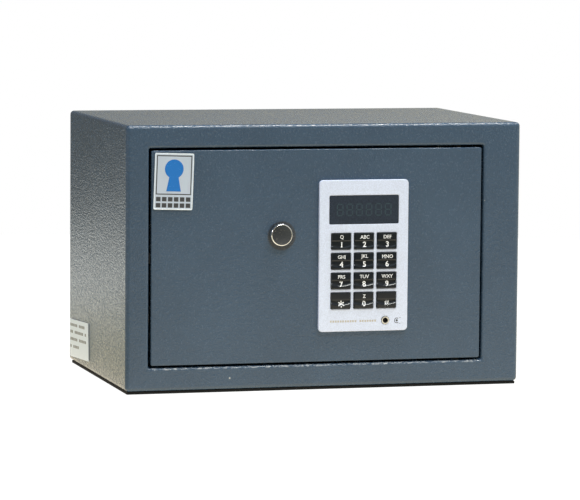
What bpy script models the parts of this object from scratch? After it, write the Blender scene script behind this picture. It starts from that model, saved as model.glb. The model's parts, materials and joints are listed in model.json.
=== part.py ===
"""In-room safe: a folded steel cabinet with a flush door on concealed pins, two motor-driven bolts, a keypad and an
emergency lock under a press-fit cap.

Every dimension below is in millimetres, and the helpers turn it into Blender's metres. X runs across the front, Y from
the front to the back and Z up. Heights in the helpers start at the cabinet's underside, and the last step lifts the
whole safe onto its anti-slip pad, so the origin is the middle of the pad's underside. At rest the door is closed and
the bolts are drawn back, so the door is free to swing.
"""
from math import acos, cos, pi, radians, sin, tan
from typing import NamedTuple

import bmesh
import bpy
from mathutils import Matrix, Vector

MM = 0.001
GAP = 0.3            # between faces that touch on the real object
CORNER_STEPS = 3     # flats in each rounded corner of a rectangle
SIDES = 24           # flats round a turned piece

# Cabinet
WIDTH, DEPTH, HEIGHT = 310.0, 200.0, 200.0
FRONT = -DEPTH / 2
SHEET = 2.0
FOLD = 3.0           # outside radius of the cabinet's folds
LIP_FOLD = 2.0       # outside radius of the fold round the opening
LIP_DEPTH = 12.0
ANCHOR_RADIUS, ANCHOR_X, ANCHOR_Y, ANCHOR_Z = 5.0, 75.0, 20.0, 100.0
MAT_THICKNESS = 2.5
PAD_THICKNESS = 2.2  # from the shelf to the cabinet's underside

# Door
DOOR_GAP = 1.8       # clear gap between the door and the opening
PLATE = 4.0
PLATE_BACK = FRONT + PLATE
HINGE_INSET = 17.0   # from the door's right edge to the hinge pins
HINGE_Y = FRONT + 7.0
PIN_RADIUS, PIN_HOLE = 2.5, 2.8
FRAME_INSET = 6.0
FRAME_FRONT = PLATE_BACK + GAP
FRAME_BACK = FRONT + 33.0
FRAME_SHEET, FLANGE = 1.5, 12.0
COVER_SHEET = 1.2

# Bolts and their drive
BOLT_Y = FRONT + 21.0
BOLT_HEIGHTS = (55.0, 145.0)
BOLT_RADIUS, BOLT_HOLE = 8.0, 8.4
BOLT_TIP, BOLT_ROOT = -132.0, -90.0
BOLT_TRAVEL = 14.0
CARRIAGE_HALF = 1.2  # half of the carriage's thickness
STUD_X, STUD_HEIGHTS, STUD_RADIUS = -96.0, (75.0, 125.0), 3.0
PINION_X, PINION_Z = -45.0, 73.0
TEETH, MODULE, BACKLASH, PRESSURE = 18, 1.0, 0.34, radians(20)
PITCH_RADIUS = TEETH * MODULE / 2
RACK_LINE = PINION_Z + PITCH_RADIUS

# Emergency lock
LOCK_X, LOCK_Z = -35.7, 116.7
CAM_ARM, CAM_TIP, CAM_HUB = 15.0, 3.0, 5.5
CAP_RADIUS, CAP_FRONT = 8.45, FRONT - 5.0

# Keypad
BEZEL_FRONT = FRONT - 2.5
BEZEL_BACK = FRONT - GAP
KEY_COLUMNS = (11.5, 29.6, 47.7)
KEY_TOP_ROW, KEY_PITCH = 110.85, 15.07
KEY_HALF_WIDTH, KEY_HALF_HEIGHT = 7.7, 6.1
KEY_PROUD, KEY_TRAVEL = 1.0, 1.0
KEY_ROWS = (("1", "2", "3"), ("4", "5", "6"), ("7", "8", "9"), ("star", "0", "hash"))
POSTS = ((8.0, 51.0), (35.0, 51.0), (8.0, 150.5), (51.0, 150.5))
JACK_X, JACK_Z, JACK_RADIUS = 47.06, 50.0, 2.95
RESET_X, RESET_Z, RESET_RADIUS, RESET_TRAVEL = 54.0, 137.0, 3.0, 1.2
RESET_FRONT = FRAME_BACK - 5.3
BATTERY_RADIUS, BATTERY_PITCH = 7.1, 15.4

MATERIALS = {
    "painted_steel": ((0.07, 0.11, 0.15), 0.45, 0.0),
    "plain_steel": ((0.62, 0.63, 0.64), 0.35, 1.0),
    "zinc_steel": ((0.70, 0.70, 0.68), 0.30, 1.0),
    "chrome": ((0.85, 0.86, 0.88), 0.08, 1.0),
    "brass": ((0.75, 0.58, 0.30), 0.30, 1.0),
    "silver_plastic": ((0.66, 0.72, 0.82), 0.35, 0.3),
    "black_gloss": ((0.01, 0.012, 0.016), 0.15, 0.0),
    "black_plastic": ((0.02, 0.02, 0.02), 0.50, 0.0),
    "smoked_window": ((0.03, 0.035, 0.045), 0.10, 0.0),
    "grey_rubber": ((0.20, 0.20, 0.21), 0.80, 0.0),
    "black_rubber": ((0.01, 0.01, 0.011), 0.85, 0.0),
    "board_green": ((0.02, 0.16, 0.07), 0.40, 0.0),
    "label_white": ((0.85, 0.85, 0.84), 0.50, 0.0),
    "badge_silver": ((0.70, 0.73, 0.76), 0.30, 0.6),
    "felt": ((0.05, 0.05, 0.055), 0.95, 0.0),
    "battery_wrap": ((0.55, 0.32, 0.06), 0.35, 0.2),
    "red_plastic": ((0.55, 0.02, 0.02), 0.35, 0.0),
    "lead_red": ((0.45, 0.02, 0.02), 0.50, 0.0),
    "nylon": ((0.80, 0.79, 0.75), 0.45, 0.0),
}


class Rect(NamedTuple):
    """A rectangle across the Y axis."""

    left: float
    right: float
    bottom: float
    top: float

    def grown(self, amount):
        """The same rectangle with each side moved outwards."""
        return Rect(self.left - amount, self.right + amount, self.bottom - amount, self.top + amount)

    def middle(self):
        """The centre as (x, z)."""
        return (self.left + self.right) / 2, (self.bottom + self.top) / 2


OUTER = Rect(-WIDTH / 2, WIDTH / 2, 0.0, HEIGHT)
OPENING = Rect(-137.5, 125.5, 17.4, 182.9)
DOOR = OPENING.grown(-DOOR_GAP)
FRAME = DOOR.grown(-FRAME_INSET)
HINGE_X = DOOR.right - HINGE_INSET
BEZEL = Rect(-5.7, 64.7, 42.0, 157.5)
CUTOUT = Rect(2.3, 56.9, 46.5, 153.8)
BOARD = Rect(-3.0, 62.0, 43.8, 156.5)
WINDOW = Rect(2.0, 57.1, 123.7, 145.9)
BATTERY_BOX = Rect(2.0, 68.0, 62.0, 120.0)
HATCH = Rect(4.5, 65.5, 64.5, 117.5)
BADGE = Rect(-133.85, -103.85, 136.7, 179.1)


# ---------------------------------------------------------------------------------------------------- helpers

def rect_ring(rect, y, radius=0.0):
    """The corner points of a rectangle at y, anticlockwise from the front, each corner rounded if it has a radius."""
    if not radius:
        corners = ((rect.left, rect.bottom), (rect.right, rect.bottom), (rect.right, rect.top), (rect.left, rect.top))
        return [(x, y, z) for x, z in corners]
    centres = ((rect.left + radius, rect.bottom + radius, pi), (rect.right - radius, rect.bottom + radius, 1.5 * pi),
               (rect.right - radius, rect.top - radius, 0.0), (rect.left + radius, rect.top - radius, 0.5 * pi))
    ring = []
    for x, z, start in centres:
        for step in range(CORNER_STEPS + 1):
            angle = start + step * pi / 2 / CORNER_STEPS
            ring.append((x + radius * cos(angle), y, z + radius * sin(angle)))
    return ring


def circle_ring(axis, centre, radius, along, sides=SIDES):
    """Points on a circle across the named axis; centre holds the other two coordinates in X, Y, Z order."""
    ring = []
    for side in range(sides):
        angle = 2 * pi * (side + 0.5) / sides
        point = [centre[0] + radius * cos(angle), centre[1] + radius * sin(angle)]
        point.insert("XYZ".index(axis), along)
        ring.append(tuple(point))
    return ring


def turned_rings(axis, centre, profile, sides=SIDES):
    """Rings of a turned shape whose profile is a list of (radius, place along the axis)."""
    return [circle_ring(axis, centre, radius, along, sides) for radius, along in profile]


def prism_rings(outline, low, high):
    """Two copies of an outline of (x, z) points, at y = low and y = high."""
    return [[(x, y, z) for x, z in outline] for y in (low, high)]


def box_rings(x, y, z):
    """A plain box from three (low, high) pairs."""
    return [rect_ring(Rect(*x, *z), place) for place in y]


def build(name, shells, loop=False):
    """An object whose mesh holds one closed shell for each list of rings; loop closes the last ring on the first."""
    mesh = bmesh.new()
    for rings in shells:
        rows = [[mesh.verts.new(Vector(point) * MM) for point in ring] for ring in rings]
        for near, far in zip(rows, rows[1:] + (rows[:1] if loop else [])):
            for here in range(len(near)):
                there = (here + 1) % len(near)
                mesh.faces.new((near[here], near[there], far[there], far[here]))
        if not loop:
            mesh.faces.new(rows[0])
            mesh.faces.new(rows[-1])
    bmesh.ops.recalc_face_normals(mesh, faces=mesh.faces)
    data = bpy.data.meshes.new(name)
    mesh.to_mesh(data)
    mesh.free()
    data.shade_smooth()
    data.set_sharp_from_angle(angle=radians(32))
    thing = bpy.data.objects.new(name, data)
    bpy.context.scene.collection.objects.link(thing)
    return thing


def material(name):
    """The Principled material of that name, made the first time it is asked for."""
    if name in bpy.data.materials:
        return bpy.data.materials[name]
    color, roughness, metallic = MATERIALS[name]
    made = bpy.data.materials.new(name)
    made.use_nodes = True
    shader = made.node_tree.nodes["Principled BSDF"]
    shader.inputs["Base Color"].default_value = (*color, 1.0)
    shader.inputs["Roughness"].default_value = roughness
    shader.inputs["Metallic"].default_value = metallic
    made.diffuse_color = (*color, 1.0)
    return made


def piece(name, finish, rings, loop=False):
    """A sub-part with its material."""
    thing = build(name, [rings], loop)
    thing.data.materials.append(material(finish))
    return thing


def shape(thing, operation, label, shells):
    """Cuts the shells out of a piece, or adds them to it, with a Boolean whose tool stays hidden."""
    tool = build(f"{thing.name}_{label}", shells)
    tool.hide_render = True
    tool.display_type = "WIRE"
    step = thing.modifiers.new(label, "BOOLEAN")
    step.operation = operation
    step.solver = "EXACT"
    step.object = tool
    return thing


def cut(thing, label, shells):
    """Takes the shells out of a piece."""
    return shape(thing, "DIFFERENCE", label, shells)


def add(thing, label, shells):
    """Joins the shells to a piece."""
    return shape(thing, "UNION", label, shells)


def rod(axis, centre, radius, low, high, sides=SIDES):
    """Rings of a plain cylinder."""
    return turned_rings(axis, centre, [(radius, low), (radius, high)], sides)


def origin_at(thing, x, y, z):
    """Moves an object's origin to a point on its joint's axis, without moving its shape."""
    place = Vector((x, y, z)) * MM
    thing.data.transform(Matrix.Translation(-place))
    thing.location = place
    return thing


def hang_on(things, name, x, y, z):
    """Parents things to an empty at a point on the axis they turn about."""
    axis = bpy.data.objects.new(name, None)
    axis.location = Vector((x, y, z)) * MM
    axis.empty_display_size = 0.02
    bpy.context.scene.collection.objects.link(axis)
    for thing in things:
        thing.parent = axis
        thing.matrix_parent_inverse = Matrix.Translation(-axis.location)
    return axis


# ---------------------------------------------------------------------------------------------------- cabinet

def make_cabinet_shell():
    """One folded sheet: four walls, the border round the door, and the lip that returns inwards."""
    bends = [radians(angle) for angle in (30, 60, 90)]
    rings = [rect_ring(OUTER, -FRONT, FOLD), rect_ring(OUTER, FRONT + FOLD, FOLD)]
    for bend in bends:
        inset = FOLD * (1 - cos(bend))
        rings.append(rect_ring(OUTER.grown(-inset), FRONT + FOLD * (1 - sin(bend)), max(FOLD - inset, 0.4)))
    for bend in [0.0] + bends:
        spread = LIP_FOLD * (1 - sin(bend))
        rings.append(rect_ring(OPENING.grown(spread), FRONT + LIP_FOLD * (1 - cos(bend)), 1.5 + spread))
    lip_end = FRONT + LIP_DEPTH
    rings.append(rect_ring(OPENING, lip_end, 1.5))
    rings.append(rect_ring(OPENING.grown(SHEET), lip_end, 1.5 + SHEET))
    rings.append(rect_ring(OPENING.grown(SHEET), FRONT + SHEET, 1.5 + SHEET))
    rings.append(rect_ring(OUTER.grown(-SHEET), FRONT + SHEET, FOLD - SHEET))
    rings.append(rect_ring(OUTER.grown(-SHEET), -FRONT, FOLD - SHEET))
    shell = piece("cabinet_shell", "painted_steel", rings, loop=True)
    pins = [rod("Z", (HINGE_X, HINGE_Y), PIN_HOLE, edge - 2 * SHEET, edge + 2 * SHEET)
            for edge in (OPENING.bottom, OPENING.top)]
    anchors = [rod("Z", (side * ANCHOR_X, ANCHOR_Y), ANCHOR_RADIUS, -SHEET, 2 * SHEET) for side in (-1, 1)]
    return cut(shell, "holes", pins + anchors)


def make_back_panel():
    """The flat sheet welded into the back, with two anchor holes."""
    inside = OUTER.grown(-SHEET - GAP)
    panel = piece("back_panel", "painted_steel",
                  [rect_ring(inside, -FRONT - SHEET, 0.7), rect_ring(inside, -FRONT, 0.7)])
    holes = [rod("Y", (side * ANCHOR_X, ANCHOR_Z), ANCHOR_RADIUS, -FRONT - 2 * SHEET, -FRONT + SHEET)
             for side in (-1, 1)]
    return cut(panel, "anchor_holes", holes)


def make_floor_mat():
    """The felt on the floor, with holes over the anchor holes."""
    mat = piece("floor_mat", "felt", box_rings((-150, 150), (-86, 96), (SHEET + GAP, SHEET + GAP + MAT_THICKNESS)))
    holes = [rod("Z", (side * ANCHOR_X, ANCHOR_Y), ANCHOR_RADIUS + 1, 0, 10) for side in (-1, 1)]
    return cut(mat, "anchor_holes", holes)


def make_base_pad():
    """The thin anti-slip pad under the cabinet, with holes under the anchor holes."""
    pad = piece("base_pad", "black_rubber",
                box_rings((OUTER.left + 1.5, OUTER.right - 1.5), (FRONT + 2, -FRONT - 1.5), (-PAD_THICKNESS, -GAP)))
    holes = [rod("Z", (side * ANCHOR_X, ANCHOR_Y), ANCHOR_RADIUS + 1, -2 * PAD_THICKNESS, PAD_THICKNESS)
             for side in (-1, 1)]
    return cut(pad, "anchor_holes", holes)


def make_bolt_keeper():
    """The plate welded behind the left border, with a square hole for each bolt."""
    outside = OPENING.left - SHEET - GAP
    plate = piece("bolt_keeper", "plain_steel",
                  box_rings((outside - SHEET, outside), (FRONT + SHEET + GAP, BOLT_Y + 17), (30, 170)))
    reach = BOLT_RADIUS + 1.25
    holes = [box_rings((outside - 5, outside + 5), (BOLT_Y - reach, BOLT_Y + reach), (z - reach, z + reach))
             for z in BOLT_HEIGHTS]
    return cut(plate, "bolt_holes", holes)


def make_hinge_bracket(name, low, high):
    """A plate welded to the lip, which carries a hinge pin."""
    plate = piece(name, "plain_steel",
                  box_rings((HINGE_X - 15, HINGE_X + 15), (FRONT + SHEET + GAP, FRONT + 20), (low, high)))
    return cut(plate, "pin_hole", [rod("Z", (HINGE_X, HINGE_Y), PIN_HOLE, low - 1, high + 1)])


def make_door_stop():
    """The rubber block on the left lip that the door closes against."""
    left = OPENING.left + GAP
    return piece("door_stop", "grey_rubber", box_rings((left, left + 5), (PLATE_BACK + 0.4, PLATE_BACK + 4.4), (96, 104)))


def make_side_label():
    """The paper label low on the left side, stuck on a little askew."""
    half_length, half_height, thickness = 34.0, 15.0, 0.2
    label = piece("side_label", "label_white",
                  box_rings((-thickness, 0), (-half_length, half_length), (-half_height, half_height)))
    label.location = Vector((OUTER.left - GAP, 63.0, 20.3)) * MM
    label.rotation_euler = (radians(-3.0), 0, 0)
    return label


def make_cabinet():
    """Everything that stays still when the door opens."""
    make_cabinet_shell()
    make_back_panel()
    make_floor_mat()
    make_base_pad()
    make_bolt_keeper()
    make_hinge_bracket("upper_hinge_bracket", OPENING.top + SHEET + GAP, OPENING.top + SHEET + GAP + 3)
    make_hinge_bracket("lower_hinge_bracket", OPENING.bottom - SHEET - GAP - 3, OPENING.bottom - SHEET - GAP)
    make_door_stop()
    make_side_label()


# ---------------------------------------------------------------------------------------------------- door

def make_door_plate():
    """The thick front plate, with the keypad cut-out and the lock hole."""
    rings = [rect_ring(DOOR.grown(-0.6), FRONT, 1.0), rect_ring(DOOR, FRONT + 0.6, 1.5), rect_ring(DOOR, PLATE_BACK, 1.5)]
    plate = piece("door_plate", "painted_steel", rings)
    keypad = [rect_ring(CUTOUT, FRONT - 1), rect_ring(CUTOUT, PLATE_BACK + 1)]
    return cut(plate, "holes", [keypad, rod("Y", (LOCK_X, LOCK_Z), 6.3, FRONT - 1, PLATE_BACK + 1)])


def flange_screws():
    """The centres of the four back cover screws as (x, z)."""
    line = FRAME.grown(-FLANGE / 2)
    return [(x, z) for x in (line.left, line.right) for z in (line.bottom, line.top)]


def make_door_frame():
    """The folded rim welded to the plate's back, with the flange that the cover is screwed to."""
    inner = FRAME.grown(-FRAME_SHEET)
    hole = FRAME.grown(-FLANGE)
    flange_front = FRAME_BACK - FRAME_SHEET
    rings = [rect_ring(FRAME, FRAME_FRONT, 2.0), rect_ring(FRAME, FRAME_BACK, 2.0), rect_ring(hole, FRAME_BACK, 1.0),
             rect_ring(hole, flange_front, 1.0), rect_ring(inner, flange_front, 0.8),
             rect_ring(inner, FRAME_FRONT, 0.8)]
    frame = piece("door_frame", "painted_steel", rings, loop=True)
    bolts = [rod("X", (BOLT_Y, z), BOLT_HOLE, FRAME.left - 2, FRAME.left + 4, 32) for z in BOLT_HEIGHTS]
    pins = [rod("Z", (HINGE_X, HINGE_Y), PIN_HOLE, edge - 3, edge + 3) for edge in (FRAME.bottom, FRAME.top)]
    screws = [rod("Y", centre, 1.8, FRAME_BACK - 3, FRAME_BACK + 1, 12) for centre in flange_screws()]
    return cut(frame, "holes", bolts + pins + screws)


def make_door_back_cover():
    """The thin sheet that closes the door's back, with holes for the battery hatch and the reset button."""
    edge = FRAME.grown(-GAP)
    front = FRAME_BACK + GAP
    cover = piece("door_back_cover", "painted_steel",
                  [rect_ring(edge, front, 2.0), rect_ring(edge, front + COVER_SHEET, 2.0)])
    hatch = [rect_ring(HATCH.grown(0.4), front - 1), rect_ring(HATCH.grown(0.4), front + 3)]
    reset = rod("Y", (RESET_X, RESET_Z), RESET_RADIUS + GAP, front - 1, front + 3)
    screws = [rod("Y", centre, 1.8, front - 1, front + 3, 12) for centre in flange_screws()]
    return cut(cover, "holes", [hatch, reset] + screws)


def make_hinge(side, edge, direction):
    """A hinge pin and the block inside the door that holds it; direction is 1 at the top and -1 at the bottom."""
    wall = edge - direction * (FRAME_INSET + FRAME_SHEET + GAP)
    block_z = sorted((wall, wall - direction * 10))
    block = piece(f"{side}_hinge_block", "plain_steel",
                  box_rings((HINGE_X - 8.5, HINGE_X + 8.5), (PLATE_BACK + GAP, PLATE_BACK + 12), block_z))
    cut(block, "pin_hole", [rod("Z", (HINGE_X, HINGE_Y), PIN_HOLE, block_z[0] - 1, block_z[1] + 1)])
    ends = sorted((wall - direction * 8, edge + direction * (DOOR_GAP + SHEET + 3)))
    profile = [(PIN_RADIUS - 0.5, ends[0]), (PIN_RADIUS, ends[0] + 0.6), (PIN_RADIUS, ends[1] - 0.6),
               (PIN_RADIUS - 0.5, ends[1])]
    pin = piece(f"{side}_hinge_pin", "zinc_steel", turned_rings("Z", (HINGE_X, HINGE_Y), profile))
    return [block, pin]


def make_badge():
    """The small metal badge in the door's top left corner, tilted a little clockwise."""
    half_width, half_height = (BADGE.right - BADGE.left) / 2, (BADGE.top - BADGE.bottom) / 2
    flat = Rect(-half_width, half_width, -half_height, half_height)
    badge = piece("badge_plate", "badge_silver",
                  [rect_ring(flat.grown(-0.2), -0.8, 0.6), rect_ring(flat, -0.6, 0.8), rect_ring(flat, 0.0, 0.8)])
    x, z = BADGE.middle()
    badge.location = Vector((x, FRONT - GAP, z)) * MM
    badge.rotation_euler = (0, radians(1.8), 0)
    return badge


def key_centres():
    """Each key's name with its centre as (name, x, z)."""
    return [(name, x, KEY_TOP_ROW - row * KEY_PITCH)
            for row, names in enumerate(KEY_ROWS) for name, x in zip(names, KEY_COLUMNS)]


def make_keypad_bezel():
    """The moulded panel with its key windows, display window, jack hole and four screw posts."""
    rings = [rect_ring(BEZEL.grown(-0.8), BEZEL_FRONT, 2.4), rect_ring(BEZEL, BEZEL_FRONT + 0.8, 3.0),
             rect_ring(BEZEL, BEZEL_BACK, 3.0)]
    bezel = piece("keypad_bezel", "silver_plastic", rings)
    add(bezel, "posts", [rod("Y", centre, 2.4, BEZEL_BACK - 0.6, PLATE_BACK + 0.1, 16) for centre in POSTS])
    holes = []
    for _, x, z in key_centres():
        window = Rect(x - KEY_HALF_WIDTH, x + KEY_HALF_WIDTH, z - KEY_HALF_HEIGHT, z + KEY_HALF_HEIGHT).grown(0.25)
        holes.append([rect_ring(window, BEZEL_FRONT - 1), rect_ring(window, BEZEL_BACK + 1)])
    holes.append([rect_ring(WINDOW, BEZEL_FRONT - 1), rect_ring(WINDOW, BEZEL_BACK + 1)])
    holes.append(rod("Y", (JACK_X, JACK_Z), JACK_RADIUS + GAP, BEZEL_FRONT - 1, BEZEL_BACK + 1))
    holes += [rod("Y", centre, 1.2, BEZEL_BACK + 0.5, PLATE_BACK + 1, 12) for centre in POSTS]
    return cut(bezel, "holes", holes)


def make_keypad_inside():
    """What lies behind the bezel: window, display, key mat, board, jack, buzzer and reset switch."""
    board_front = PLATE_BACK + 0.4
    board_back = board_front + 1.6
    things = []
    things.append(piece("display_lens", "smoked_window",
                        [rect_ring(WINDOW.grown(-GAP), BEZEL_FRONT + 0.2), rect_ring(WINDOW.grown(-GAP), BEZEL_BACK)]))
    things.append(piece("display_module", "black_plastic",
                        box_rings((3, 56.2), (FRONT + GAP, board_front - GAP), (124.5, 145.3))))
    mat_front = board_front - GAP - 1.0
    mat = piece("keypad_mat", "grey_rubber", box_rings((3.5, 55.7), (mat_front, board_front - GAP), (57.5, 119)))
    domes = [turned_rings("Y", (x, z), [(3.0, mat_front - 0.8), (4.2, mat_front + 0.2)], 12)
             for _, x, z in key_centres()]
    things.append(add(mat, "domes", domes))
    board = piece("circuit_board", "board_green", [rect_ring(BOARD, board_front), rect_ring(BOARD, board_back)])
    things.append(cut(board, "screw_holes", [rod("Y", at, 1.4, board_front - 1, board_back + 1, 12) for at in POSTS]))
    jack = piece("power_jack", "plain_steel",
                 box_rings((JACK_X - 4, JACK_X + 4), (FRONT + 0.1, board_front - GAP), (JACK_Z - 3.1, JACK_Z + 4.5)))
    add(jack, "collar", [rod("Y", (JACK_X, JACK_Z), JACK_RADIUS, BEZEL_FRONT - 0.5, FRONT + 1)])
    things.append(cut(jack, "socket", [rod("Y", (JACK_X, JACK_Z), 1.45, BEZEL_FRONT - 1, PLATE_BACK - 0.8, 16)]))
    things.append(piece("buzzer", "black_plastic", rod("Y", (14, 137), 6, board_back + GAP, board_back + 6)))
    things.append(piece("reset_switch", "black_plastic",
                        box_rings((RESET_X - 4, RESET_X + 4), (board_back + GAP, RESET_FRONT - RESET_TRAVEL - GAP),
                                  (RESET_Z - 4, RESET_Z + 4))))
    return things


def make_keys():
    """Twelve keys, each with a flange behind the bezel, and its origin on the line it travels along."""
    keys = []
    front, flange_front, flange_back = BEZEL_FRONT - KEY_PROUD, FRONT, FRONT + 1.0
    for name, x, z in key_centres():
        cap = Rect(x - KEY_HALF_WIDTH, x + KEY_HALF_WIDTH, z - KEY_HALF_HEIGHT, z + KEY_HALF_HEIGHT)
        flange = cap.grown(0.8)
        rings = [rect_ring(flange, flange_back), rect_ring(flange, flange_front), rect_ring(cap, flange_front),
                 rect_ring(cap, front + 0.5), rect_ring(cap.grown(-0.5), front)]
        keys.append(origin_at(piece(f"key_{name}", "black_gloss", rings), x, front, z))
    return keys


def make_battery_pack():
    """The open battery box on the back cover and the four cells in it."""
    inner = BATTERY_BOX.grown(-1.5)
    floor, rim_back = PLATE_BACK + 10.9, FRAME_BACK
    rings = [rect_ring(inner, floor), rect_ring(inner, rim_back), rect_ring(BATTERY_BOX.grown(2), rim_back),
             rect_ring(BATTERY_BOX.grown(2), rim_back - 1.6), rect_ring(BATTERY_BOX, rim_back - 1.6),
             rect_ring(BATTERY_BOX, floor - 1.5)]
    things = [piece("battery_box", "black_plastic", rings)]
    cell_y = floor + GAP + BATTERY_RADIUS
    for number in range(4):
        x = BATTERY_BOX.middle()[0] + (number - 1.5) * BATTERY_PITCH
        low, high = 66.0, 114.6
        profile = [(BATTERY_RADIUS, low), (BATTERY_RADIUS, high), (2.7, high), (2.7, high + 1.4)]
        things.append(piece(f"battery_{number + 1}", "battery_wrap", turned_rings("Z", (x, cell_y), profile, 16)))
    return things


def make_battery_cover():
    """The hatch over the cells, which lifts out of the back cover, with a finger notch."""
    front = FRAME_BACK + GAP
    hatch = piece("battery_cover", "black_plastic",
                  [rect_ring(HATCH, front, 1.0), rect_ring(HATCH, front + COVER_SHEET, 1.0)])
    x, z = HATCH.middle()
    cut(hatch, "notch", [rod("Y", (x, HATCH.bottom), 7, front - 1, front + 3)])
    return origin_at(hatch, x, front, z)


def make_reset_button():
    """The red button in the back cover that starts a new code."""
    back = FRAME_BACK + GAP + COVER_SHEET + RESET_TRAVEL + 0.2
    profile = [(2.0, RESET_FRONT), (2.0, FRAME_BACK - 2), (RESET_RADIUS + 1.2, FRAME_BACK - 2),
               (RESET_RADIUS + 1.2, FRAME_BACK), (RESET_RADIUS, FRAME_BACK), (RESET_RADIUS, back - 0.4),
               (RESET_RADIUS - 0.4, back)]
    button = piece("reset_button", "red_plastic", turned_rings("Y", (RESET_X, RESET_Z), profile))
    return origin_at(button, RESET_X, back, RESET_Z)


def smooth_route(route, spacing):
    """Evenly spread points on the smooth curve through a route's own points."""
    ends = [2 * route[0] - route[1]] + route + [2 * route[-1] - route[-2]]
    points = []
    for before, start, end, after in zip(ends, ends[1:], ends[2:], ends[3:]):
        count = max(2, round((end - start).length / spacing))
        for step in range(count):
            t = step / count
            points.append(0.5 * (2 * start + (end - before) * t + (2 * before - 5 * start + 4 * end - after) * t ** 2
                                 + (3 * start - before - 3 * end + after) * t ** 3))
    return points + [route[-1]]


def make_lead(name, finish, route):
    """A thin lead held inside the door, as a tube with flat ends."""
    points = smooth_route([Vector(point) for point in route], 5.0)
    curve = bpy.data.curves.new(name, "CURVE")
    curve.dimensions = "3D"
    curve.bevel_depth = 1.0 * MM
    curve.bevel_resolution = 2
    curve.use_fill_caps = True
    spline = curve.splines.new("POLY")
    spline.points.add(len(points) - 1)
    for place, point in zip(spline.points, points):
        place.co = (*(point * MM), 1.0)
    curve.materials.append(material(finish))
    lead = bpy.data.objects.new(name, curve)
    bpy.context.scene.collection.objects.link(lead)
    return lead


# ---------------------------------------------------------------------------------------------------- bolt work

def gear_outline():
    """The pinion's outline, with involute flanks and one tooth pointing straight up."""
    base, outside, root = PITCH_RADIUS * cos(PRESSURE), PITCH_RADIUS + MODULE, PITCH_RADIUS - 1.25 * MODULE
    half_pitch_angle = (pi * MODULE / 2 - BACKLASH / 2) / 2 / PITCH_RADIUS

    def half_angle(radius):
        """Half of the tooth's width at a radius, as an angle."""
        pressure = acos(min(1.0, base / radius))
        return half_pitch_angle + (tan(PRESSURE) - PRESSURE) - (tan(pressure) - pressure)

    radii = [root, base, PITCH_RADIUS, PITCH_RADIUS + MODULE / 2, outside]
    outline = []
    for tooth in range(TEETH):
        middle = pi / 2 + 2 * pi * tooth / TEETH
        flank = [(radius, half_angle(max(radius, base))) for radius in radii]
        for radius, half in flank:
            outline.append((radius, middle - half))
        for radius, half in reversed(flank):
            outline.append((radius, middle + half))
    return [(PINION_X + radius * cos(angle), PINION_Z + radius * sin(angle)) for radius, angle in outline]


def rack_outline():
    """The rack's teeth along the carriage's lower edge, left to right, with a space over the pinion's top tooth."""
    root, tip = RACK_LINE + 1.25 * MODULE, RACK_LINE - MODULE
    half = (pi * MODULE / 2 - BACKLASH / 2) / 2
    root_half, tip_half = half + 1.25 * MODULE * tan(PRESSURE), half - MODULE * tan(PRESSURE)
    points = []
    for number in range(-4, 7):
        middle = PINION_X + (number + 0.5) * pi * MODULE
        points += [(middle - root_half, root), (middle - tip_half, tip), (middle + tip_half, tip),
                   (middle + root_half, root)]
    return points


def make_bolt_carriage():
    """The sliding plate that joins the bolts, with its guide slots, rack and release tab."""
    root = RACK_LINE + 1.25 * MODULE
    arm_top, tab_top, tab_left = 98.0, 106.0, -21.8
    outline = [(-104, 46), (-74, 46), (-74, root)] + rack_outline() + [
        (-14, root), (-14, arm_top), (tab_left + 4, arm_top), (tab_left + 4, tab_top), (tab_left, tab_top),
        (tab_left, arm_top), (-74, arm_top), (-74, 154), (-104, 154)]
    carriage = piece("bolt_carriage", "zinc_steel",
                     prism_rings(outline, BOLT_Y - CARRIAGE_HALF, BOLT_Y + CARRIAGE_HALF))
    reach = STUD_RADIUS + GAP
    slots = [box_rings((STUD_X - reach, STUD_X + BOLT_TRAVEL + reach), (BOLT_Y - 3, BOLT_Y + 3), (z - reach, z + reach))
             for z in STUD_HEIGHTS]
    cut(carriage, "guide_slots", slots)
    return origin_at(carriage, BOLT_ROOT, BOLT_Y, (BOLT_HEIGHTS[0] + BOLT_HEIGHTS[1]) / 2)


def make_bolt(name, z):
    """A round bolt with a chamfered tip, slotted at its root to take the carriage."""
    profile = [(BOLT_RADIUS - 1.2, BOLT_TIP), (BOLT_RADIUS, BOLT_TIP + 1.2), (BOLT_RADIUS, BOLT_ROOT)]
    bolt = piece(name, "zinc_steel", turned_rings("X", (BOLT_Y, z), profile))
    half = CARRIAGE_HALF + GAP
    cut(bolt, "slot", [box_rings((-104.5, BOLT_ROOT + 2), (BOLT_Y - half, BOLT_Y + half), (z - 10, z + 10))])
    return origin_at(bolt, BOLT_TIP, BOLT_Y, z)


def make_guide_stud(number, z):
    """A shouldered stud that the carriage slides on, with a riveted head behind it."""
    front, back = BOLT_Y - CARRIAGE_HALF - 0.4, BOLT_Y + CARRIAGE_HALF + 0.4
    profile = [(STUD_RADIUS, PLATE_BACK + GAP), (STUD_RADIUS, front - 3), (STUD_RADIUS + 2, front - 3),
               (STUD_RADIUS + 2, front), (STUD_RADIUS, front), (STUD_RADIUS, back), (STUD_RADIUS + 2, back),
               (STUD_RADIUS + 2, back + 1.5)]
    return piece(f"guide_stud_{number}", "zinc_steel", turned_rings("Y", (STUD_X, z), profile, 16))


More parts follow.
